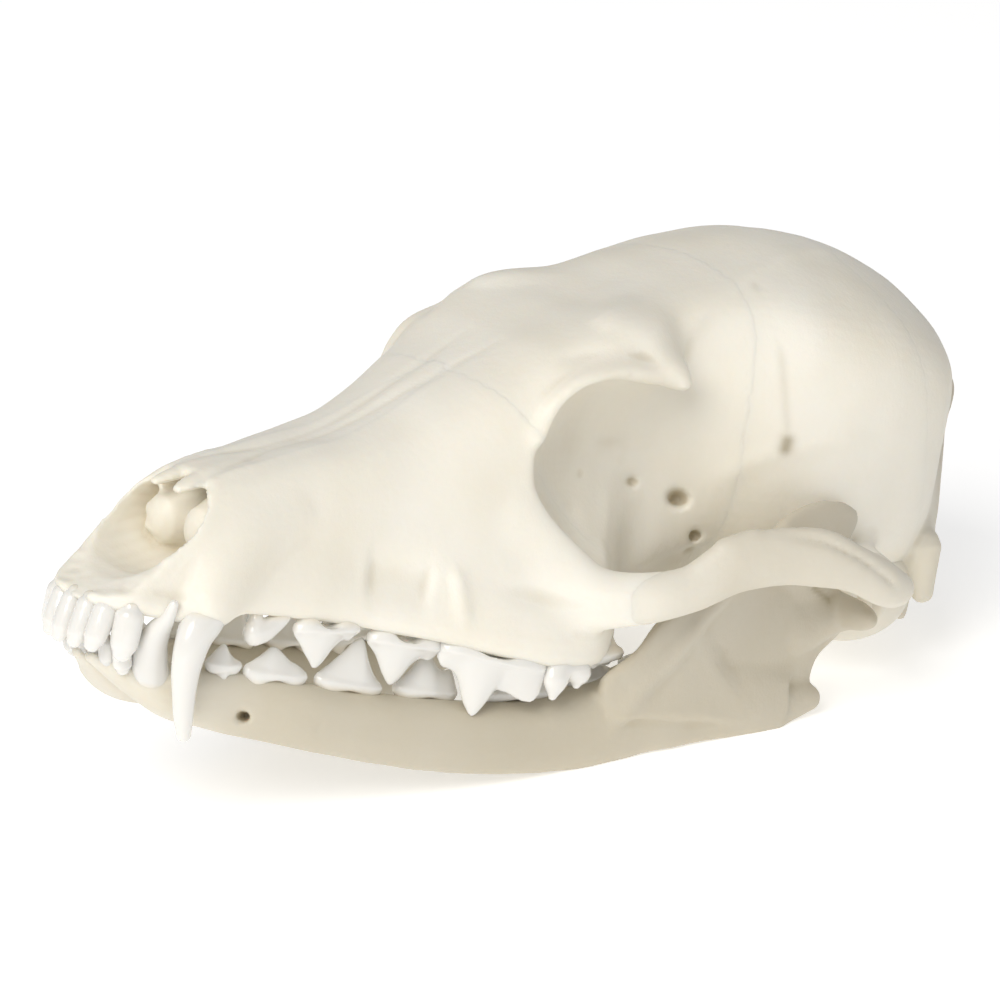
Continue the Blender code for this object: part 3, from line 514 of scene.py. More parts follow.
cranium = {
    "voxel": 0.42,
    # y, top, shoulder x z, side x z, lower edge x z, floor
    "sections": (
        (0.0, 1.5, 1.5, 1.1, 2.4, 0.5, 1.9, -0.4, -0.5),
        (1.2, 2.6, 3.2, 2.1, 4.5, 0.9, 4.1, -0.7, -0.7),
        (2.8, 4.4, 5.0, 3.4, 6.4, 1.5, 6.2, -0.8, -0.8),
        (5.8, 7.8, 6.0, 6.0, 7.3, 2.8, 6.9, -0.6, 0.4),
        (8.6, 11.4, 6.0, 9.4, 7.7, 5.4, 8.1, -0.3, 1.0),
        (11.0, 14.0, 5.6, 12.4, 8.2, 7.6, 9.9, 0.0, 1.4),
        (14.0, 15.5, 5.4, 14.2, 8.8, 8.6, 10.8, 0.4, 1.8),
        (20.0, 17.1, 6.2, 15.6, 9.5, 9.0, 10.9, 0.4, 2.2),
        (28.0, 19.0, 7.0, 17.6, 10.3, 10.0, 11.7, 0.0, 2.6),
        (35.0, 20.9, 7.9, 19.4, 11.1, 11.0, 13.0, -0.4, 3.0),
        (41.0, 23.6, 8.2, 21.4, 12.2, 12.0, 15.0, -0.9, 3.2),
        (48.0, 27.6, 9.6, 24.8, 13.8, 14.2, 17.6, -1.5, 3.4),
        (55.0, 31.2, 11.6, 28.8, 15.2, 16.6, 20.0, -2.4, 3.6),
        (62.0, 34.8, 13.3, 33.4, 15.8, 19.8, 21.4, -3.0, 3.8),
        (69.0, 37.8, 14.6, 36.9, 14.2, 23.0, 20.6, -2.8, 4.0),
        (75.0, 39.8, 14.6, 38.4, 10.4, 23.0, 16.6, -1.8, 4.4),
        (80.0, 41.6, 12.6, 39.4, 9.8, 22.0, 10.2, 3.4, 5.2),
        (86.0, 44.0, 12.6, 41.0, 12.2, 25.4, 10.4, 8.0, 6.0),
        (92.0, 46.2, 14.6, 41.6, 16.2, 27.0, 13.0, 11.6, 6.8),
        (98.0, 47.9, 17.8, 41.8, 20.2, 27.2, 16.8, 12.0, 7.2),
        (105.0, 49.0, 19.6, 41.6, 22.8, 27.0, 19.6, 11.6, 7.0),
        (114.0, 48.6, 20.2, 40.6, 23.2, 26.6, 19.6, 10.6, 6.2),
        (123.0, 46.4, 18.4, 38.6, 21.4, 26.0, 17.6, 9.6, 5.6),
        (131.0, 42.8, 13.2, 36.0, 14.4, 24.4, 13.8, 9.8, 5.4),
        (136.5, 39.6, 7.6, 34.0, 8.6, 23.6, 9.6, 10.4, 6.4),
        (140.0, 36.6, 4.4, 32.2, 5.2, 24.4, 6.0, 14.0, 11.0),
    ),
    "socket": {"centre": (21.4, 69.8, 22.0), "radii": (12.8, 14.2, 13.4), "turn": math.radians(-6.0)},
    # arch, crests and points: x, y, z, half height, half thickness
    "arch": (
        (13.4, 56.0, 12.6, 4.4, 2.6),
        (17.4, 60.6, 8.4, 4.4, 2.8),
        (21.4, 65.4, 5.8, 3.9, 2.8),
        (24.4, 70.6, 6.4, 3.3, 2.4),
        (26.9, 76.0, 8.3, 3.0, 2.0),
        (29.4, 81.0, 12.2, 3.6, 1.8),
        (31.6, 86.5, 13.9, 3.7, 1.8),
        (33.4, 91.5, 14.2, 3.7, 1.8),
        (34.6, 97.0, 13.2, 3.0, 2.0),
        (34.6, 102.5, 11.4, 2.8, 2.2),
        (32.6, 107.0, 10.4, 2.4, 2.6),
        (28.0, 109.8, 10.6, 2.2, 2.8),
        (22.0, 111.0, 11.0, 3.0, 3.0),
    ),
    "jugal": ((28.8, 80.6, 13.0, 2.6, 1.4), (29.8, 82.6, 15.6, 1.1, 0.9)),
    "postorbital": (
        (8.6, 74.6, 37.4, 2.4, 6.6),
        (12.0, 76.4, 36.6, 1.9, 5.2),
        (15.0, 78.0, 34.3, 1.3, 3.2),
        (16.9, 79.0, 32.2, 0.7, 1.1),
    ),
    # sharp upper rim of the eye socket
    "brow": (
        (14.4, 57.6, 24.4, 0.5, 0.6),
        (15.0, 58.8, 28.3, 0.55, 0.6),
        (15.5, 61.2, 31.0, 0.6, 0.7),
        (15.9, 64.8, 32.7, 0.6, 0.8),
        (16.0, 69.0, 33.2, 0.8, 0.9),
        (15.8, 73.4, 33.0, 1.1, 1.1),
        (15.6, 78.0, 32.6, 1.2, 1.1),
    ),
    # edge of bone over the front teeth
    "gum": (
        (8.6, 9.2, -0.2, 1.1, 0.9),
        (7.6, 6.4, 0.0, 1.1, 0.9),
        (6.2, 3.4, 0.5, 0.95, 0.8),
        (4.6, 1.5, 0.6, 0.95, 0.9),
        (2.4, 0.5, 0.6, 0.95, 0.9),
        (0.0, 0.3, 0.6, 0.95, 0.9),
    ),
    # bulge over the root of the upper canine
    "canineRoot": (
        (9.6, 12.6, 0.8, 3.3, 2.5),
        (8.6, 15.0, 4.6, 3.3, 2.6),
        (7.7, 19.4, 8.6, 2.8, 2.4),
        (6.8, 25.0, 11.6, 1.8, 2.0),
    ),
    # wall between the eye socket and the throat
    "palatine": (
        (9.6, 72.0, 8.0, 6.0, 2.2),
        (8.0, 79.0, 9.0, 6.6, 1.8),
        (7.4, 87.0, 9.0, 6.4, 1.7),
        (7.6, 95.0, 8.0, 5.2, 1.8),
    ),
    "nuchal": (
        (16.0, 126.0, 9.0, 2.4, 1.2),
        (15.6, 129.0, 15.0, 2.4, 1.1),
        (12.0, 132.2, 21.0, 2.6, 1.1),
        (7.0, 136.6, 26.6, 2.6, 1.2),
        (0.0, 142.6, 31.4, 3.2, 1.6),
    ),
    "mastoid": ((17.0, 128.0, 12.0, 3.0, 3.0), (18.6, 128.6, 6.6, 1.6, 1.4)),
    "paraoccipital": ((12.6, 130.4, 9.0, 2.4, 2.0), (13.2, 131.2, 2.4, 0.9, 1.0)),
    "postglenoid": ((24.4, 112.6, 10.0, 1.6, 3.4), (24.4, 112.8, 5.0, 0.8, 2.0)),
    "pterygoid": (
        (7.4, 76.0, 3.4, 2.4, 1.2),
        (6.6, 84.0, 3.0, 3.6, 1.0),
        (6.0, 92.0, 2.8, 3.8, 1.0),
        (5.8, 98.0, 2.2, 3.2, 0.8),
    ),
    "condyle": {"centre": (6.0, 136.4, 9.6), "radii": (3.4, 4.0, 4.8)},
    "bulla": {"centre": (12.4, 120.0, 6.2), "radii": (7.8, 10.0, 7.6)},
    "spinalHole": {"centre": (0.0, 141.5, 13.6), "radii": (6.2, 11.0, 5.4)},
    # lines on the surface: path, half width, height (sunk where below zero)
    "strokes": (
        (((4.6, 10.8, 12.0), (4.8, 14.4, 12.2), (4.4, 20.0, 12.4)), 0.5, 0.5),
        (((5.2, 12.0, 9.4), (5.4, 14.8, 9.8), (5.0, 20.0, 9.8)), 0.5, 0.45),
        (((4.6, 10.6, 6.6), (4.8, 14.0, 7.4), (4.6, 20.0, 7.6)), 0.5, 0.5),
        (((2.7, 11.7, 14.2), (3.3, 13.3, 14.9), (3.0, 16.5, 16.3), (2.2, 20.3, 17.3), (0.7, 26.0, 18.5),
          (0.7, 31.0, 19.7), (1.0, 38.1, 22.2), (1.4, 43.1, 24.8), (2.1, 52.1, 29.6),
            (2.9, 59.6, 33.7)), 0.8, -0.4),
        (((3.8, 15.0, 15.6), (4.2, 20.0, 16.8), (3.2, 27.0, 18.4), (3.4, 34.0, 20.4)), 0.8, 0.25),
        (((12.4, 34.5, 6.0), (13.6, 39.2, 6.0), (15.2, 44.2, 5.2)), 3.0, -1.0),
        (((15.9, 46.4, 7.6), (17.0, 47.0, 4.4), (17.8, 47.6, 1.4)), 1.0, 0.55),
        (((17.6, 51.0, 6.2), (20.0, 57.5, 5.4), (22.5, 62.1, 5.0), (25.3, 67.1, 5.2),
          (26.9, 71.2, 6.6)), 1.5, -0.45),
        (((12.6, 60.6, 33.6), (13.6, 66.0, 34.6), (14.4, 72.0, 35.0)), 1.0, -0.3),
        (((15.8, 63.0, 31.8), (15.4, 69.0, 32.6), (16.4, 76.0, 32.4)), 0.8, 0.35),
        (((13.1, 81.0, 36.9), (12.3, 84.6, 40.2), (11.4, 89.0, 42.8), (9.6, 96.0, 45.4), (7.4, 105.0, 47.6),
          (5.0, 116.0, 48.0)), 1.2, 0.35),
        (((14.9, 90.9, 19.6), (17.0, 93.4, 22.5), (19.4, 96.7, 24.8), (21.9, 101.8, 26.8),
          (23.2, 108.0, 27.3)), 1.4, 0.3),
        (((30.6, 80.4, 17.0), (32.6, 84.4, 17.2), (34.4, 91.0, 16.4), (35.8, 96.4, 14.6),
          (36.4, 101.0, 12.4), (35.4, 105.6, 10.0)), 0.55, -0.5),
        (((10.0, 75.3, 25.1), (9.9, 76.2, 20.6), (10.8, 76.1, 17.0), (12.8, 75.0, 13.0),
          (15.1, 73.7, 9.7)), 2.8, -0.9),
    ),
    # holes in the socket's wall: x, y, z, half height, half width along a short way in
    "holes": (
        ((13.8, 85.0, 17.0, 1.4, 1.7), (12.2, 87.0, 16.4, 1.2, 1.5), (10.4, 88.4, 16.0, 0.6, 0.8)),
        ((12.0, 79.0, 18.4, 1.1, 1.6), (10.6, 80.2, 18.0, 0.9, 1.3), (9.4, 81.0, 17.8, 0.4, 0.6)),
        ((13.8, 90.0, 12.2, 0.9, 1.1), (11.6, 91.6, 11.6, 0.6, 0.8)),
        ((12.8, 91.4, 9.6, 0.8, 1.0), (10.8, 92.6, 9.2, 0.6, 0.7)),
        ((11.0, 71.4, 19.0, 0.7, 0.4), (9.2, 71.7, 18.6, 0.5, 0.3)),
    ),
    # nose opening: side view of all that is cut away in front of its rim, as y z
    "noseRim": ((-4.0, 0.2), (1.0, 0.9), (3.0, 2.0), (5.2, 4.0), (8.1, 7.2), (11.0, 10.6), (12.6, 12.5),
                (14.3, 14.6), (14.3, 24.0), (-4.0, 24.0)),
    "noseRimHalfWidth": 14.0,
    # nose cavity: x, y, z, half height, half width along its middle
    "noseCavity": (
        (0.0, 0.6, 3.0, 1.8, 3.6),
        (0.0, 2.4, 4.8, 3.4, 5.5),
        (0.0, 4.4, 6.6, 4.8, 6.4),
        (0.0, 7.0, 8.0, 5.6, 6.9),
        (0.0, 10.0, 8.8, 5.8, 7.1),
        (0.0, 14.0, 9.4, 5.2, 7.0),
        (0.0, 20.0, 9.6, 4.4, 6.6),
        (0.0, 28.0, 9.6, 3.8, 5.8),
    ),
    # curled thin bones at the back of the nose opening: x, y, z, half height, half width
    "turbinates": (
        ((3.3, 15.8, 8.9, 3.4, 2.9), (3.3, 18.0, 9.3, 4.4, 3.3), (3.0, 28.0, 9.8, 3.6, 3.0)),
    ),
    # free front end of one nasal bone: x, y, z, half height, half width
    "nasalTip": (
        (2.1, 11.2, 13.5, 0.6, 0.8),
        (2.1, 12.6, 14.1, 0.75, 1.35),
        (2.1, 15.5, 15.0, 0.9, 1.75),
        (2.2, 21.0, 16.4, 0.9, 2.2),
    ),
}

# Sutures between the bones. Each plane: y at the tooth line, lean backwards going up, in degrees.
sutures = {
    "behindMaxilla": (82.0, 45.0),
    "coronal": (94.0, 4.0),
    "occipital": (128.0, 18.0),
    "cheekX": 25.4,
    "nasalSide": ((8.0, 20.0, 34.0, 45.0, 53.0), (2.9, 3.5, 3.4, 3.0, 1.4)),      # y, half width of both nasals
    "nasalDepth": 2.6,
    "nasalEnd": 53.0,
    "overlap": 1.0,                   # how far each bone passes its suture under the next one
    "sink": 0.12,                     # how fast it dips there, mm per mm
    "wave": (0.25, 2.3),              # height and length of the suture's teeth, mm
}


def bothSides(path):
    # a path that ends on the middle line, carried on down the other side
    return path + tuple((-x, *rest) for x, *rest in path[-2::-1])


def noseCutter():
    # the rim's side view drawn straight across the skull
    outline = np.array(cranium["noseRim"])
    wide = cranium["noseRimHalfWidth"]
    rings = np.stack([np.insert(outline, 0, x, axis=1) for x in (-wide, wide)])
    return closedShell(rings)


def suturePlane(name, x, y, z):
    # (y - place) cos lean + z sin lean, waved: below zero in front of the suture
    place, lean = sutures[name]
    lean = math.radians(lean)
    height, length = sutures["wave"]
    turn = 2 * math.pi / length
    wave = height * np.sin(x * turn + np.sin(z * turn * 0.4)) * np.cos(z * turn * 0.9 + np.sin(x * turn * 0.3))
    return (y - place) * math.cos(lean) + z * math.sin(lean) + wave


def nasalRoom(x, y, z):
    # strip under the midline of the nose: greatest of side, depth and end distances
    table = np.array(cranium["sections"])
    roof = np.interp(y, table[:, 0], table[:, 1])
    half = np.interp(y, *sutures["nasalSide"])
    return np.maximum(np.maximum(np.abs(x) - half, roof - sutures["nasalDepth"] - z), y - sutures["nasalEnd"])


def craniumField():
    field = distanceField((-39.5, -2.5, -9.0), (39.5, 148.0, 52.5), cranium["voxel"])
    addShell(field, lofted(cranium["sections"]), 0.0)
    for side in (1, -1):
        socket = cranium["socket"]
        carveShell(field, egg(socket["centre"], socket["radii"], socket["turn"], side, 64), 1.0)
    for side in (1, -1):
        addShell(field, swept(cranium["arch"], side), 2.4)
        addShell(field, swept(cranium["jugal"], side), 1.4)
        addShell(field, swept(cranium["postorbital"], side), 2.4)
        addShell(field, swept(cranium["brow"], side), 2.4)
        addShell(field, swept(cranium["canineRoot"], side), 2.6)
        addShell(field, swept(cranium["palatine"], side), 2.4)
        addShell(field, swept(cranium["mastoid"], side), 1.6)
        addShell(field, swept(cranium["postglenoid"], side), 1.2)
        addShell(field, swept(cranium["pterygoid"], side), 1.2)
        addShell(field, swept(cranium["paraoccipital"], side), 1.0)
        addShell(field, egg(**cranium["condyle"], side=side), 1.2)
    addShell(field, swept(bothSides(cranium["nuchal"])), 1.6)
    addShell(field, swept(bothSides(cranium["gum"])), 1.2)
    carveShell(field, egg(**cranium["spinalHole"]), 0.8)
    carveShell(field, noseCutter(), 0.5, 0.12)
    carveShell(field, swept(cranium["noseCavity"]), 0.4)
    for side in (1, -1):
        addShell(field, swept(cranium["nasalTip"], side), 0.5)
        for path in cranium["turbinates"]:
            addShell(field, swept(path, side), 1.2)
        for path, width, height in cranium["strokes"]:
            stroke(field, mirrored(path, side), width, height)
        for hole in cranium["holes"]:
            carveShell(field, swept(hole, side), 0.6)
    return field


# Each bone's window in the skull's frame and what bounds it there: below zero inside.
craniumBones = {
    "nasalBones": ((-6.0, 8.0, 10.0), (6.0, 55.0, 32.0), lambda x, y, z: nasalRoom(x, y, z)),
    "muzzle": ((-26.0, -2.5, -9.0), (26.0, 90.0, 42.0), lambda x, y, z: np.maximum(
        np.maximum(suturePlane("behindMaxilla", x, y, z), -nasalRoom(x, y, z)), np.abs(x) - sutures["cheekX"])),
    "frontal": ((-26.0, 40.0, -1.0), (26.0, 99.0, 52.0), lambda x, y, z: np.maximum(
        np.maximum(-suturePlane("behindMaxilla", x, y, z), suturePlane("coronal", x, y, z)),
        np.abs(x) - sutures["cheekX"])),
    "braincase": ((-26.0, 84.0, -3.0), (26.0, 136.0, 52.0), lambda x, y, z: np.maximum(
        np.maximum(-suturePlane("coronal", x, y, z), suturePlane("occipital", x, y, z)),
        np.abs(x) - sutures["cheekX"])),
    "occiput": ((-26.0, 108.0, -3.0), (26.0, 148.0, 52.0), lambda x, y, z: np.maximum(
        -suturePlane("occipital", x, y, z), np.abs(x) - sutures["cheekX"])),
    "cheekArch_left": ((24.5, 55.0, -2.0), (39.5, 118.0, 24.0), lambda x, y, z: sutures["cheekX"] - x),
    "cheekArch_right": ((-39.5, 55.0, -2.0), (-24.5, 118.0, 24.0), lambda x, y, z: sutures["cheekX"] + x),
}


def finishedBone(name, points, quads):
    points = relaxed(points, quads, 1)
    points = points + vertexNormals(points, quads) * (waves(points, 9.0, 3) * 0.05)[:, None]
    print(name, len(quads) * 2, "triangles")
    # the tone along y is partly painted shade, the stains along their lines are real
    toneAndShadeShare = toneAndShadeOf(points, "cheekArch" if name.startswith("cheekArch") else "cranium")
    layers = {"hollow": hollowness(points, quads), "stainAndShade": np.maximum(toneAndShadeShare, stained(points, stains))}
    return meshPiece(name, points, quads, bone, layers)


def boneOf(field, name):
    low, high, room = craniumBones[name]
    place = windowOf(field, low, high)
    spots = placesIn(field, place)
    past = room(spots[..., 0], spots[..., 1], spots[..., 2])
    sunk = field["values"][place] + sutures["sink"] * np.clip(past, 0.0, sutures["overlap"])
    bounded = np.maximum(sunk, past - sutures["overlap"])
    points, quads = biggestBody(*fieldMesh(field, bounded, spots[0, 0, 0]))
    return finishedBone(name, points, quads)


def bulla(side, word):
    shell = egg(**cranium["bulla"], side=side)
    local = distanceField(shell[0].min(0) - 3.0, shell[0].max(0) + 3.0, cranium["voxel"])
    addShell(local, shell, 0.0)
    return finishedBone("auditoryBulla_" + word, *fieldMesh(local))


# ---- lower jaw

lowerJaw = {
    "voxel": 0.42,
    # y, x, upper edge, lower edge, half thickness
    "sections": (
        (2.4, 1.1, -7.0, -8.0, 0.8),
        (3.8, 1.7, -6.9, -8.9, 1.4),
        (5.8, 2.4, -7.0, -10.2, 2.1),
        (9.0, 3.6, -7.4, -12.2, 2.9),
        (14.0, 5.0, -7.4, -14.1, 3.5),
        (20.0, 6.6, -7.2, -15.2, 3.2),
        (28.0, 9.2, -8.0, -16.2, 3.1),
        (36.0, 11.0, -8.8, -17.2, 3.0),
        (46.0, 13.0, -9.2, -18.1, 3.1),
        (56.0, 15.0, -9.2, -18.3, 3.2),
        (64.0, 16.2, -8.4, -17.9, 3.1),
        (71.0, 17.4, -6.2, -17.2, 2.9),
        (78.0, 18.6, -2.8, -15.6, 2.6),
        (86.0, 20.0, -1.6, -13.2, 2.2),
        (94.0, 21.6, -3.0, -11.4, 1.9),
        (101.0, 22.6, -3.6, -10.4, 1.7),
    ),
    # upright plate: z, x, front y, rear y, half thickness
    "plate": (
        (-9.0, 21.4, 73.0, 103.0, 1.6),
        (-5.0, 21.8, 70.5, 106.0, 1.5),
        (-1.0, 22.2, 75.0, 106.8, 1.6),
        (3.0, 22.6, 77.4, 110.0, 1.7),
        (7.0, 23.2, 82.6, 107.6, 1.5),
        (11.0, 23.7, 87.0, 105.2, 1.5),
        (15.6, 24.1, 92.4, 106.6, 1.5),
        (17.6, 24.3, 94.6, 106.8, 1.3),
        (18.8, 24.4, 97.2, 105.6, 1.1),
        (19.5, 24.5, 100.0, 103.6, 0.8),
    ),
    # bulge over the root of the lower canine
    "canineRoot": (
        (4.9, 9.4, -9.8, 1.4, 1.8),
        (5.0, 11.6, -10.8, 2.0, 2.0),
        (5.1, 14.6, -11.7, 2.2, 2.0),
        (5.8, 19.0, -12.2, 1.8, 1.8),
    ),
    "hook": (
        (22.0, 97.0, -7.6, 2.4, 1.5),
        (22.6, 102.0, -7.6, 2.1, 1.4),
        (23.0, 106.4, -6.4, 1.6, 1.3),
    ),
    "jointNeck": ((23.0, 101.0, 2.8, 3.0, 1.8), (24.2, 107.2, 4.6, 2.0, 2.0)),
    "joint": {"centre": (24.8, 107.4, 5.4), "radii": (5.6, 2.3, 2.1)},
    "plateLean": 0.07,                # the plate closes inwards by this much per mm in front of plateY
    "plateY": 88.0,
    "halfGap": 0.08,
    # lines on the outer side: path, half width, height (sunk where below zero)
    "strokes": (
        (((25.2, 94.0, 15.0), (24.4, 87.0, 9.0), (23.8, 83.4, 4.4), (23.0, 80.0, -1.4),
          (21.6, 76.0, -5.8), (20.6, 74.0, -11.0)), 1.3, 0.9),
        (((24.6, 97.0, 10.0), (24.2, 93.0, 3.0), (23.8, 88.0, -3.0)), 6.0, -1.1),
        (((23.4, 104.0, -9.6), (22.4, 92.0, -11.6), (20.8, 82.0, -13.4)), 1.3, 0.5),
        (((11.6, 16.4, -12.0), (10.4, 20.6, -12.5)), 1.0, -0.4),
    ),
    # holes: x, y, z, half height, half width along a short way in
    "holes": (
        ((10.2, 20.6, -12.5, 0.7, 0.8), (9.2, 22.0, -12.7, 0.6, 0.7), (8.2, 23.4, -12.8, 0.3, 0.4)),
        ((12.6, 31.4, -13.2, 0.22, 0.22), (10.6, 32.6, -13.4, 0.2, 0.2)),
    ),
}


def jawTube(side):
    # oval loop at each y: x = x0 + half cos^0.8 t, z = middle + reach sin t, with sin^0.62 t above the middle
    table = np.array(lowerJaw["sections"], float)
    places = np.arange(table[0, 0], table[-1, 0], 0.6)
    y, x, top, low, half = through(table[:, 0], table, places).T[:, :, None]
    turn = np.arange(40) * 2 * math.pi / 40
    wide = np.sign(np.cos(turn)) * np.abs(np.cos(turn)) ** 0.8
    tall = np.sign(np.sin(turn)) * np.abs(np.sin(turn)) ** np.where(np.sin(turn) > 0.0, 0.62, 0.95)
    rings = np.stack(np.broadcast_arrays(side * (x + half * wide), y, (top + low) / 2 + (top - low) / 2 * tall), -1)
    return closedShell(rings)


def jawPlate(side):
    # oval loop at each z, long along y and thin across
    table = np.array(lowerJaw["plate"], float)
    heights = np.linspace(table[0, 0], table[-1, 0], 60)
    z, x, front, rear, half = through(table[:, 0], table, heights).T[:, :, None]
    turn = np.arange(64) * 2 * math.pi / 64
    thin = np.sign(np.sin(turn)) * np.abs(np.sin(turn)) ** 0.6
    y = (front + rear) / 2 + (rear - front) / 2 * np.cos(turn)
    x = x + lowerJaw["plateLean"] * np.minimum(y - lowerJaw["plateY"], 0.0)
    rings = np.stack(np.broadcast_arrays(side * (x + half * thin), y, z), -1)
    return closedShell(rings)


def onTheFloor(points):
    # whatever reaches under the floor is lifted to it
    c = math.cos(pose["pitch"])
    s = math.sin(pose["pitch"])
    height = points[:, 2] * c - points[:, 1] * s - pose["floorZ"]
    lift = np.maximum(-height, 0.0)
    return points + lift[:, None] * np.array((0.0, -s, c))


def buildJaw(side, word):
    low = (min(side * 0.2, side * 32.0) - 1.0, 1.0, -21.0)
    high = (max(side * 0.2, side * 32.0) + 1.0, 113.0, 23.0)
    field = distanceField(low, high, lowerJaw["voxel"])
    addShell(field, jawTube(side), 0.0)
    addShell(field, jawPlate(side), 2.0)
    addShell(field, swept(lowerJaw["canineRoot"], side), 1.6)
    addShell(field, swept(lowerJaw["hook"], side), 1.6)
    addShell(field, swept(lowerJaw["jointNeck"], side), 1.6)
    addShell(field, egg(**lowerJaw["joint"], side=side), 1.0)
    for path, width, height in lowerJaw["strokes"]:
        stroke(field, mirrored(path, side), width, height)
    for hole in lowerJaw["holes"]:
        carveShell(field, swept(hole, side), 0.5)
    xs = field["low"][0] + np.arange(field["values"].shape[0]) * field["voxel"]
    inner = lowerJaw["halfGap"] - side * xs
    field["values"] = np.maximum(field["values"], inner[:, None, None].astype(np.float32))
    points, quads = biggestBody(*fieldMesh(field))
    points = relaxed(points, quads, 2)
    points = onTheFloor(points + vertexNormals(points, quads) * (waves(points, 7.0, 5) * 0.05)[:, None])
    print("jaw", word, len(quads) * 2, "triangles")
    layers = {
        "hollow": hollowness(points, quads),
        # the jaw's tone along y is partly its own tan, partly painted shade for the less light from below
        "stainAndShade": np.maximum(toneAndShadeOf(points, "jaw"), stained(points, stains)),
    }
    return meshPiece("lowerJaw_" + word, points, quads, bone, layers)


# ---- teeth

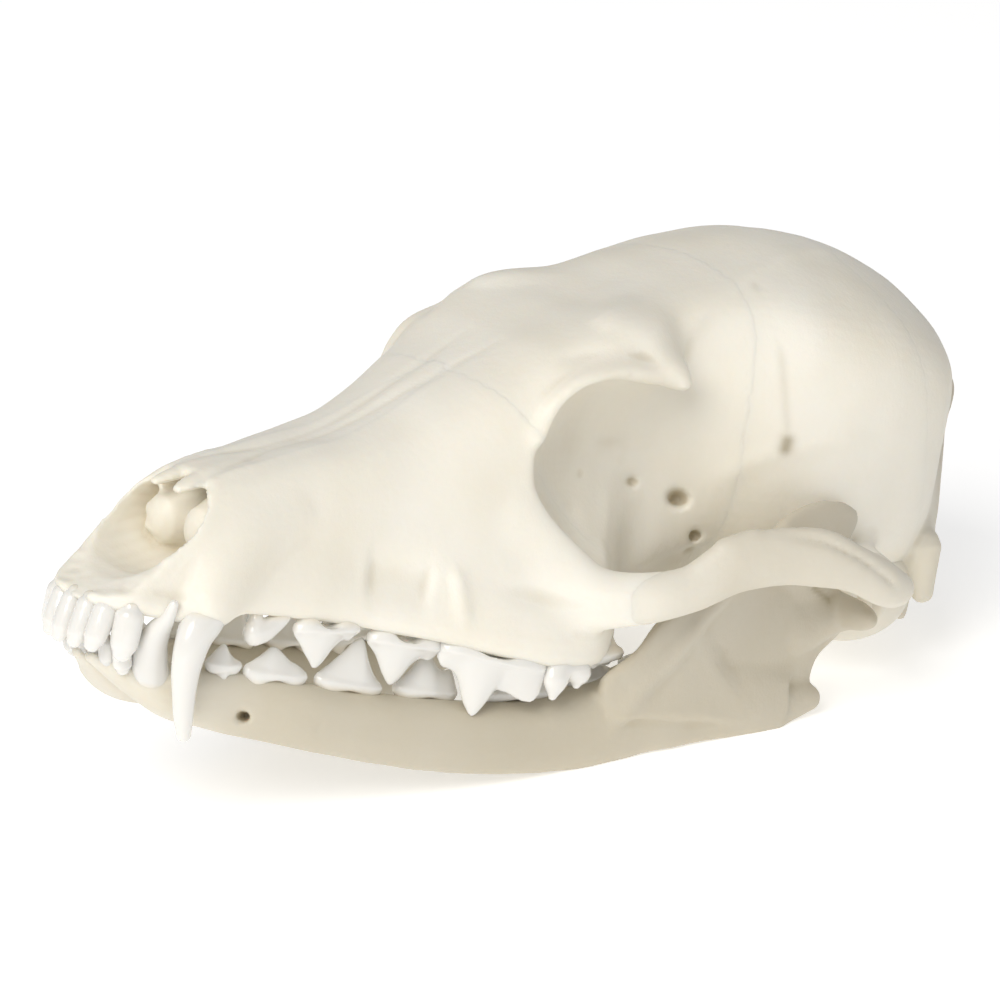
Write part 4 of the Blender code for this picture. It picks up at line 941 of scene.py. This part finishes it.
teeth = {
    "voxel": 0.2,
    "rootDepth": 3.2,
    "rootLean": 1.2,                  # how far the upper roots lean inwards
    # spade of a front tooth: share of the way from neck to tip, thickness, width
    "spade": ((-0.06, 0.75, 0.72), (0.0, 0.9, 0.86), (0.3, 1.0, 1.0), (0.6, 0.95, 1.0), (0.85, 0.82, 0.92),
              (0.96, 0.62, 0.74)),
    "belt": ((0.06, 0.6), (0.3, 0.96), (0.7, 0.96), (0.94, 0.6)),    # share of the length, of the half width
    "forks": {-1: 1.7, 1: 0.5},       # rise of the neck line between two roots: upper, lower
    # incisors: neck x y z, tip x y z, half width, half depth
    "upperIncisors": (
        ((1.4, 0.9, -0.6), (1.4, -0.5, -5.7), 1.4, 1.45),
        ((3.8, 1.6, -0.6), (3.8, 0.2, -5.5), 1.5, 1.55),
        ((6.2, 3.2, -0.6), (6.4, 2.9, -5.9), 1.8, 1.8),
    ),
    "lowerIncisors": (
        ((0.95, 3.8, -7.4), (0.95, 2.8, -4.6), 0.85, 0.95),
        ((2.7, 4.2, -7.6), (2.8, 3.1, -4.6), 1.0, 1.05),
        ((4.5, 5.2, -7.9), (4.8, 4.0, -4.8), 1.2, 1.2),
    ),
    # canines: x, y, z, half length, half width from the root to the tip
    "upperCanine": (
        (8.8, 14.6, 4.0, 2.2, 1.8),
        (9.9, 11.8, -0.7, 2.55, 2.15),
        (10.1, 10.8, -2.0, 2.45, 2.05),
        (10.3, 10.1, -4.2, 2.2, 1.85),
        (10.3, 10.0, -6.9, 1.88, 1.6),
        (10.2, 10.5, -9.7, 1.55, 1.32),
        (10.0, 11.3, -12.6, 1.3, 1.1),
        (9.9, 12.0, -14.9, 0.95, 0.82),
    ),
    "wornStations": 5,                # the right upper canine is broken short
    "lowerCanine": (
        (5.0, 11.6, -10.8, 1.6, 1.5),
        (5.2, 9.8, -9.2, 2.1, 1.85),
        (5.6, 8.4, -7.1, 2.35, 1.95),
        (6.2, 7.5, -4.9, 2.2, 1.8),
        (7.2, 7.3, -2.6, 1.7, 1.35),
        (8.5, 7.2, -0.8, 1.05, 0.85),
        (9.3, 7.1, 1.1, 0.62, 0.52),
    ),
    # first premolar, a bean: x, y, z, half height, half width
    "bean": (
        (10.0, 20.2, -2.2, 1.6, 1.3),
        (10.1, 21.6, -1.8, 1.5, 1.3),
        (10.2, 23.0, -1.0, 1.25, 1.1),
        (10.3, 24.4, 0.1, 1.0, 0.9),
    ),
    "beanRoot": ((10.0, 20.4, -2.0, 1.0, 1.0), (9.4, 20.4, 1.4, 0.7, 0.7)),
    # blades: front end, rear end, half width, edge profile (share of the length, height)
    "upperBlades": (
        ((10.8, 26.0, -1.0), (12.1, 35.6, -0.5), 1.6,
         ((0.0, 1.0), (0.12, 2.2), (0.3, 4.3), (0.42, 5.4), (0.5, 4.9), (0.64, 2.9), (0.76, 1.9),
           (0.87, 1.9), (1.0, 0.8))),
        ((12.4, 37.0, -1.6), (14.7, 47.4, -2.1), 1.8,
         ((0.0, 1.0), (0.14, 2.3), (0.3, 4.8), (0.41, 5.9), (0.5, 5.2), (0.64, 3.0), (0.76, 2.1),
           (0.87, 2.2), (1.0, 0.9))),
        ((15.1, 46.4, -1.8), (20.0, 60.9, -3.4), 2.1,
         ((0.0, 1.4), (0.06, 2.7), (0.13, 2.9), (0.2, 3.4), (0.33, 6.9), (0.42, 8.1), (0.5, 6.6), (0.58, 4.4),
          (0.66, 4.3), (0.86, 4.9), (0.94, 4.6), (1.0, 3.0))),
    ),
    "lowerBlades": (
        ((7.8, 15.6, -6.9), (8.3, 20.6, -7.0), 1.2,
         ((0.0, 0.9), (0.25, 2.4), (0.42, 3.0), (0.65, 1.8), (1.0, 0.7))),
        ((8.8, 20.9, -7.4), (10.1, 30.2, -7.9), 1.45,
         ((0.0, 1.0), (0.22, 2.4), (0.4, 3.7), (0.5, 3.4), (0.7, 2.2), (0.85, 1.7), (1.0, 0.9))),
        ((10.4, 31.4, -8.0), (11.7, 41.6, -8.9), 1.5,
         ((0.0, 1.0), (0.15, 2.3), (0.35, 4.3), (0.52, 6.1), (0.6, 6.3), (0.72, 4.0), (0.85, 2.1), (1.0, 0.9))),
        ((12.0, 43.4, -8.6), (13.0, 53.2, -9.0), 1.65,
         ((0.0, 1.0), (0.2, 2.6), (0.38, 4.8), (0.48, 4.9), (0.64, 3.4), (0.74, 3.1), (0.86, 3.2), (1.0, 1.0))),
        ((13.4, 54.2, -8.8), (15.4, 68.8, -8.0), 2.1,
         ((0.0, 1.2), (0.1, 3.6), (0.16, 3.9), (0.24, 3.4), (0.36, 5.0), (0.42, 4.9), (0.54, 2.6), (0.64, 2.0),
          (0.8, 2.2), (0.92, 1.9), (1.0, 1.0))),
        ((15.4, 69.4, -7.0), (16.8, 75.8, -5.2), 1.8,
         ((0.0, 1.0), (0.25, 1.9), (0.5, 1.3), (0.75, 1.7), (1.0, 0.8))),
        ((17.2, 76.8, -4.0), (17.8, 79.6, -3.0), 1.2, ((0.0, 0.7), (0.5, 1.2), (1.0, 0.6))),
    ),
    # height of the bone's edge along y, where the enamel turns to root
    "upperNecks": ((0.0, 0.2), (16.0, 0.0), (36.0, -0.4), (48.0, -1.4), (62.0, -2.6), (75.0, -1.6)),
    "lowerNecks": ((0.0, -8.0), (6.0, -9.6), (12.0, -9.8), (16.0, -8.2), (30.0, -8.2),
                   (56.0, -9.4), (70.0, -7.8), (80.0, -4.4)),
    # grinding teeth: x, y, half width, half length, neck z, cusps (x shift, y shift, depth)
    "upperMolars": (
        (16.9, 64.3, 4.9, 4.0, -3.8, ((3.9, -2.2, 3.6), (3.6, 1.9, 2.2), (-2.6, -0.4, 1.4))),
        (15.6, 71.6, 3.8, 2.7, -2.4, ((2.9, -1.0, 1.5), (2.6, 1.5, 1.1), (-1.6, 0.2, 0.9))),
    ),
}


def incisorShell(neck, tip, half, deep, side):
    # spade crown along the line from neck to tip: narrow root, full middle, rounded thin edge
    neck = mirrored(neck, side)
    tip = mirrored(tip, side)
    run = tip - neck
    return swept([(*(neck + run * share), deep * thick, half * wide) for share, thick, wide in teeth["spade"]],
                 step=0.35, sides=28)


def bladeShell(front, rear, half, profile, side, grow):
    # at share s: across = half * w(s) * sign(cos t) |cos t|^1.4, height = h(s) * |sin t|^1.5 on the crown's side
    share = np.linspace(0.015, 0.985, 56)
    knots = np.array(profile)
    height = np.maximum(through(knots[:, 0], knots[:, 1:], share), 0.3)
    ends = np.sqrt(1.0 - np.abs(2 * share - 1.0) ** 3)[:, None]
    width = half * ends * (0.78 + 0.22 * height / knots[:, 1].max())
    front = mirrored(front, side)
    rear = mirrored(rear, side)
    run = rear - front
    across = np.cross(run, (0.0, 0.0, 1.0))
    across /= np.linalg.norm(across)
    turn = np.arange(36) * 2 * math.pi / 36
    crown = np.sin(turn) > 0.0
    power = np.where(crown, 1.4, 0.8)
    over = np.sign(np.cos(turn)) * np.abs(np.cos(turn)) ** power
    neck = 0.9 * ends * (1.0 - teeth["forks"][grow] * np.exp(-((share[:, None] - 0.5) / 0.15) ** 2))
    rise = np.where(crown, np.abs(np.sin(turn)) ** 1.5 * height, -neck * np.abs(np.sin(turn)))
    rings = front + share[:, None, None] * run + (width * over)[:, :, None] * across
    rings = rings + (grow * rise)[:, :, None] * np.array((0.0, 0.0, 1.0))
    return closedShell(rings)


def bladeTooth(front, rear, half, profile, side, grow):
    # a blade with a raised belt at its neck and one or two roots
    front = np.asarray(front, float)
    run = np.asarray(rear, float) - front
    length = np.linalg.norm(run)
    parts = [(bladeShell(front, rear, half, profile, side, grow), 0.0)]
    lift = np.array((0.0, 0.0, grow * 0.45))
    belt = [(*(front + run * s + lift), 0.42, half * w) for s, w in teeth["belt"]]
    parts.append((swept(belt, side), 0.5))
    lean = teeth["rootLean"] if grow < 0 else 0.0
    for share in ((0.22, 0.78) if length > 6 else (0.5,)):
        top = front + run * share
        foot = top - np.array((lean, 0.0, grow * teeth["rootDepth"]))
        parts.append((swept(((*top, length * 0.15, half * 0.72), (*foot, length * 0.11, half * 0.5)), side), 0.7))
    return parts


def molarTooth(x, y, across, along, neck, cusps, side):
    parts = [(egg((side * x, y, neck + 0.3), (across, along, 1.7)), 0.0)]
    for dx, dy, depth in cusps:
        parts.append((swept((
            (side * (x + dx * 0.8), y + dy * 0.8, neck + 1.0, 1.7, 1.4),
            (side * (x + dx), y + dy, neck - depth * 0.4, 1.7, 1.4),
            (side * (x + dx), y + dy, neck - depth + 0.4, 0.6, 0.5),
        )), 0.8))
    for dx, dy in ((across * 0.55, -along * 0.5), (across * 0.55, along * 0.5), (-across * 0.5, 0.0)):
        parts.append((swept((
            (side * (x + dx), y + dy, neck + 0.4, 1.3, 1.2),
            (side * (x + dx - 0.6), y + dy, neck + teeth["rootDepth"], 0.9, 0.8),
        )), 0.6))
    return parts


def canineShell(path, side):
    return swept([(side * x, y, z, along, across) for x, y, z, along, across in path], step=0.4, sides=40)


def meltedTooth(parts):
    low = np.min([shell[0].min(0) for shell, blend in parts], axis=0) - 1.0
    high = np.max([shell[0].max(0) for shell, blend in parts], axis=0) + 1.0
    field = distanceField(low, high, teeth["voxel"], 8.0)
    for shell, blend in parts:
        addShell(field, shell, blend)
    points, quads = fieldMesh(field)
    return relaxed(points, quads, 1), quads


def buildTeeth(name, groups, necks):
    # necks: height of the bone's edge, above or below which the enamel turns to root
    points = []
    quads = []
    count = 0
    for parts in groups:
        p, q = meltedTooth(parts)
        points.append(p)
        quads.append(q + count)
        count += len(p)
    points = np.concatenate(points)
    quads = np.concatenate(quads)
    print(name, len(quads) * 2, "triangles")
    return meshPiece(name, points, quads, enamel, {"hollow": hollowness(points, quads), "root": necks(points)})


def rootShare(points, table, grow):
    # 0 on the crown, 1 where a tooth has passed the neck line z(y) by 0.8 mm
    line = np.interp(points[:, 1], *zip(*table))
    return np.clip((line - points[:, 2]) * grow / 0.8 + 0.5, 0.0, 1.0)


def upperTeeth(side, word):
    kept = teeth["upperCanine"] if side > 0 else teeth["upperCanine"][:teeth["wornStations"]]
    groups = [[(incisorShell(*sizes, side), 0.0)] for sizes in teeth["upperIncisors"]]
    groups.append([(canineShell(kept, side), 0.0)])
    groups.append([(swept(teeth["bean"], side, 0.4), 0.0), (swept(teeth["beanRoot"], side), 0.6)])
    groups += [bladeTooth(*sizes, side, -1) for sizes in teeth["upperBlades"]]
    groups += [molarTooth(*sizes, side) for sizes in teeth["upperMolars"]]
    return buildTeeth("upperTeeth_" + word, groups, lambda points: rootShare(points, teeth["upperNecks"], -1))


def lowerTeeth(side, word):
    groups = [[(incisorShell(*sizes, side), 0.0)] for sizes in teeth["lowerIncisors"]]
    groups.append([(canineShell(teeth["lowerCanine"], side), 0.0)])
    groups += [bladeTooth(*sizes, side, 1) for sizes in teeth["lowerBlades"]]
    return buildTeeth("lowerTeeth_" + word, groups, lambda points: rootShare(points, teeth["lowerNecks"], 1))


boneNodes = {
    "nasalBones": "nasal_bones",
    "muzzle": "muzzle",
    "frontal": "frontal",
    "braincase": "braincase",
    "occiput": "occiput",
    "cheekArch_left": "zygomatic_arch_left",
    "cheekArch_right": "zygomatic_arch_right",
}
head = craniumField()
for word, node in boneNodes.items():
    piece = boneOf(head, word)
    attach(piece, "root")
    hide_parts(node)
for side, word in ((1, "left"), (-1, "right")):
    piece = bulla(side, word)
    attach(piece, "root")
    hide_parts("auditory_bulla_" + word)
for side, word in ((1, "left"), (-1, "right")):
    jaw = buildJaw(side, word)
    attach(jaw, "root")
    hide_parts("mandible_" + word)
    for row in (upperTeeth(side, word), lowerTeeth(side, word)):
        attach(row, "root")

# ---- camera, light and floor

photoView = {
    "place": (687.323, -640.301, 168.134),        # camera in the skull's frame, mm
    "right": (0.684601, 0.704992, 0.185224),
    "down": (0.240883, 0.021020, -0.970326),
    "ahead": (-0.687966, 0.708904, -0.155430),
    "lens": 288.24,
}


def addCamera():
    data = bpy.data.cameras.new("photo_camera")
    data.lens = photoView["lens"]
    data.sensor_width = 36.0
    data.clip_end = 20.0
    camera = bpy.data.objects.new("photo_camera", data)
    bpy.context.scene.collection.objects.link(camera)
    origin = intoTheRoom((0.0, 0.0, 0.0))
    axes = [intoTheRoom(photoView[name]) - origin for name in ("right", "down", "ahead")]
    right, down, ahead = (axis / np.linalg.norm(axis) for axis in axes)
    place = intoTheRoom(photoView["place"])
    rows = [[right[i], -down[i], -ahead[i], place[i]] for i in range(3)] + [[0.0, 0.0, 0.0, 1.0]]
    camera.matrix_world = Matrix(rows)
    bpy.context.scene.camera = camera


studio = {
    "paper": (0.94, 0.94, 0.94, 1.0),
    "paperHalf": 4.0,                 # half the paper's side, metres
    "paperGlow": 0.42,
    "world": 0.44,
    # key light: place and target in metres, size, watts, colour
    "key": ((0.40, -0.86, 0.76), (0.0, 0.0, 0.03), 0.7, 8.6, (1.0, 0.985, 0.965)),
}


def addKeyLight(place, target, size, power, colour):
    data = bpy.data.lights.new("key_light", "AREA")
    data.shape = "DISK"
    data.size = size
    data.energy = power
    data.color = colour
    light = bpy.data.objects.new("key_light", data)
    bpy.context.scene.collection.objects.link(light)
    light.location = place
    light.rotation_euler = (Vector(target) - Vector(place)).to_track_quat("-Z", "Y").to_euler()


def addRoom():
    size = studio["paperHalf"]
    mesh = bpy.data.meshes.new("floor")
    mesh.from_pydata([(-size, -size, 0), (size, -size, 0), (size, size, 0), (-size, size, 0)], [], [(0, 1, 2, 3)])
    floor = bpy.data.objects.new("floor", mesh)
    bpy.context.scene.collection.objects.link(floor)
    material, nodes, links, shader = newMaterial("pale_paper")
    shader.inputs["Base Color"].default_value = studio["paper"]
    shader.inputs["Emission Color"].default_value = (1.0, 1.0, 1.0, 1.0)
    shader.inputs["Emission Strength"].default_value = studio["paperGlow"]
    shader.inputs["Roughness"].default_value = 0.9
    shader.inputs["Specular IOR Level"].default_value = 0.1
    mesh.materials.append(material)
    world = bpy.data.worlds.new("studio")
    world.use_nodes = True
    world.node_tree.nodes["Background"].inputs["Color"].default_value = (1.0, 1.0, 1.0, 1.0)
    world.node_tree.nodes["Background"].inputs["Strength"].default_value = studio["world"]
    bpy.context.scene.world = world
    addKeyLight(*studio["key"])
    bpy.context.scene.view_settings.view_transform = "Standard"


addCamera()
addRoom()
print("camera and room")
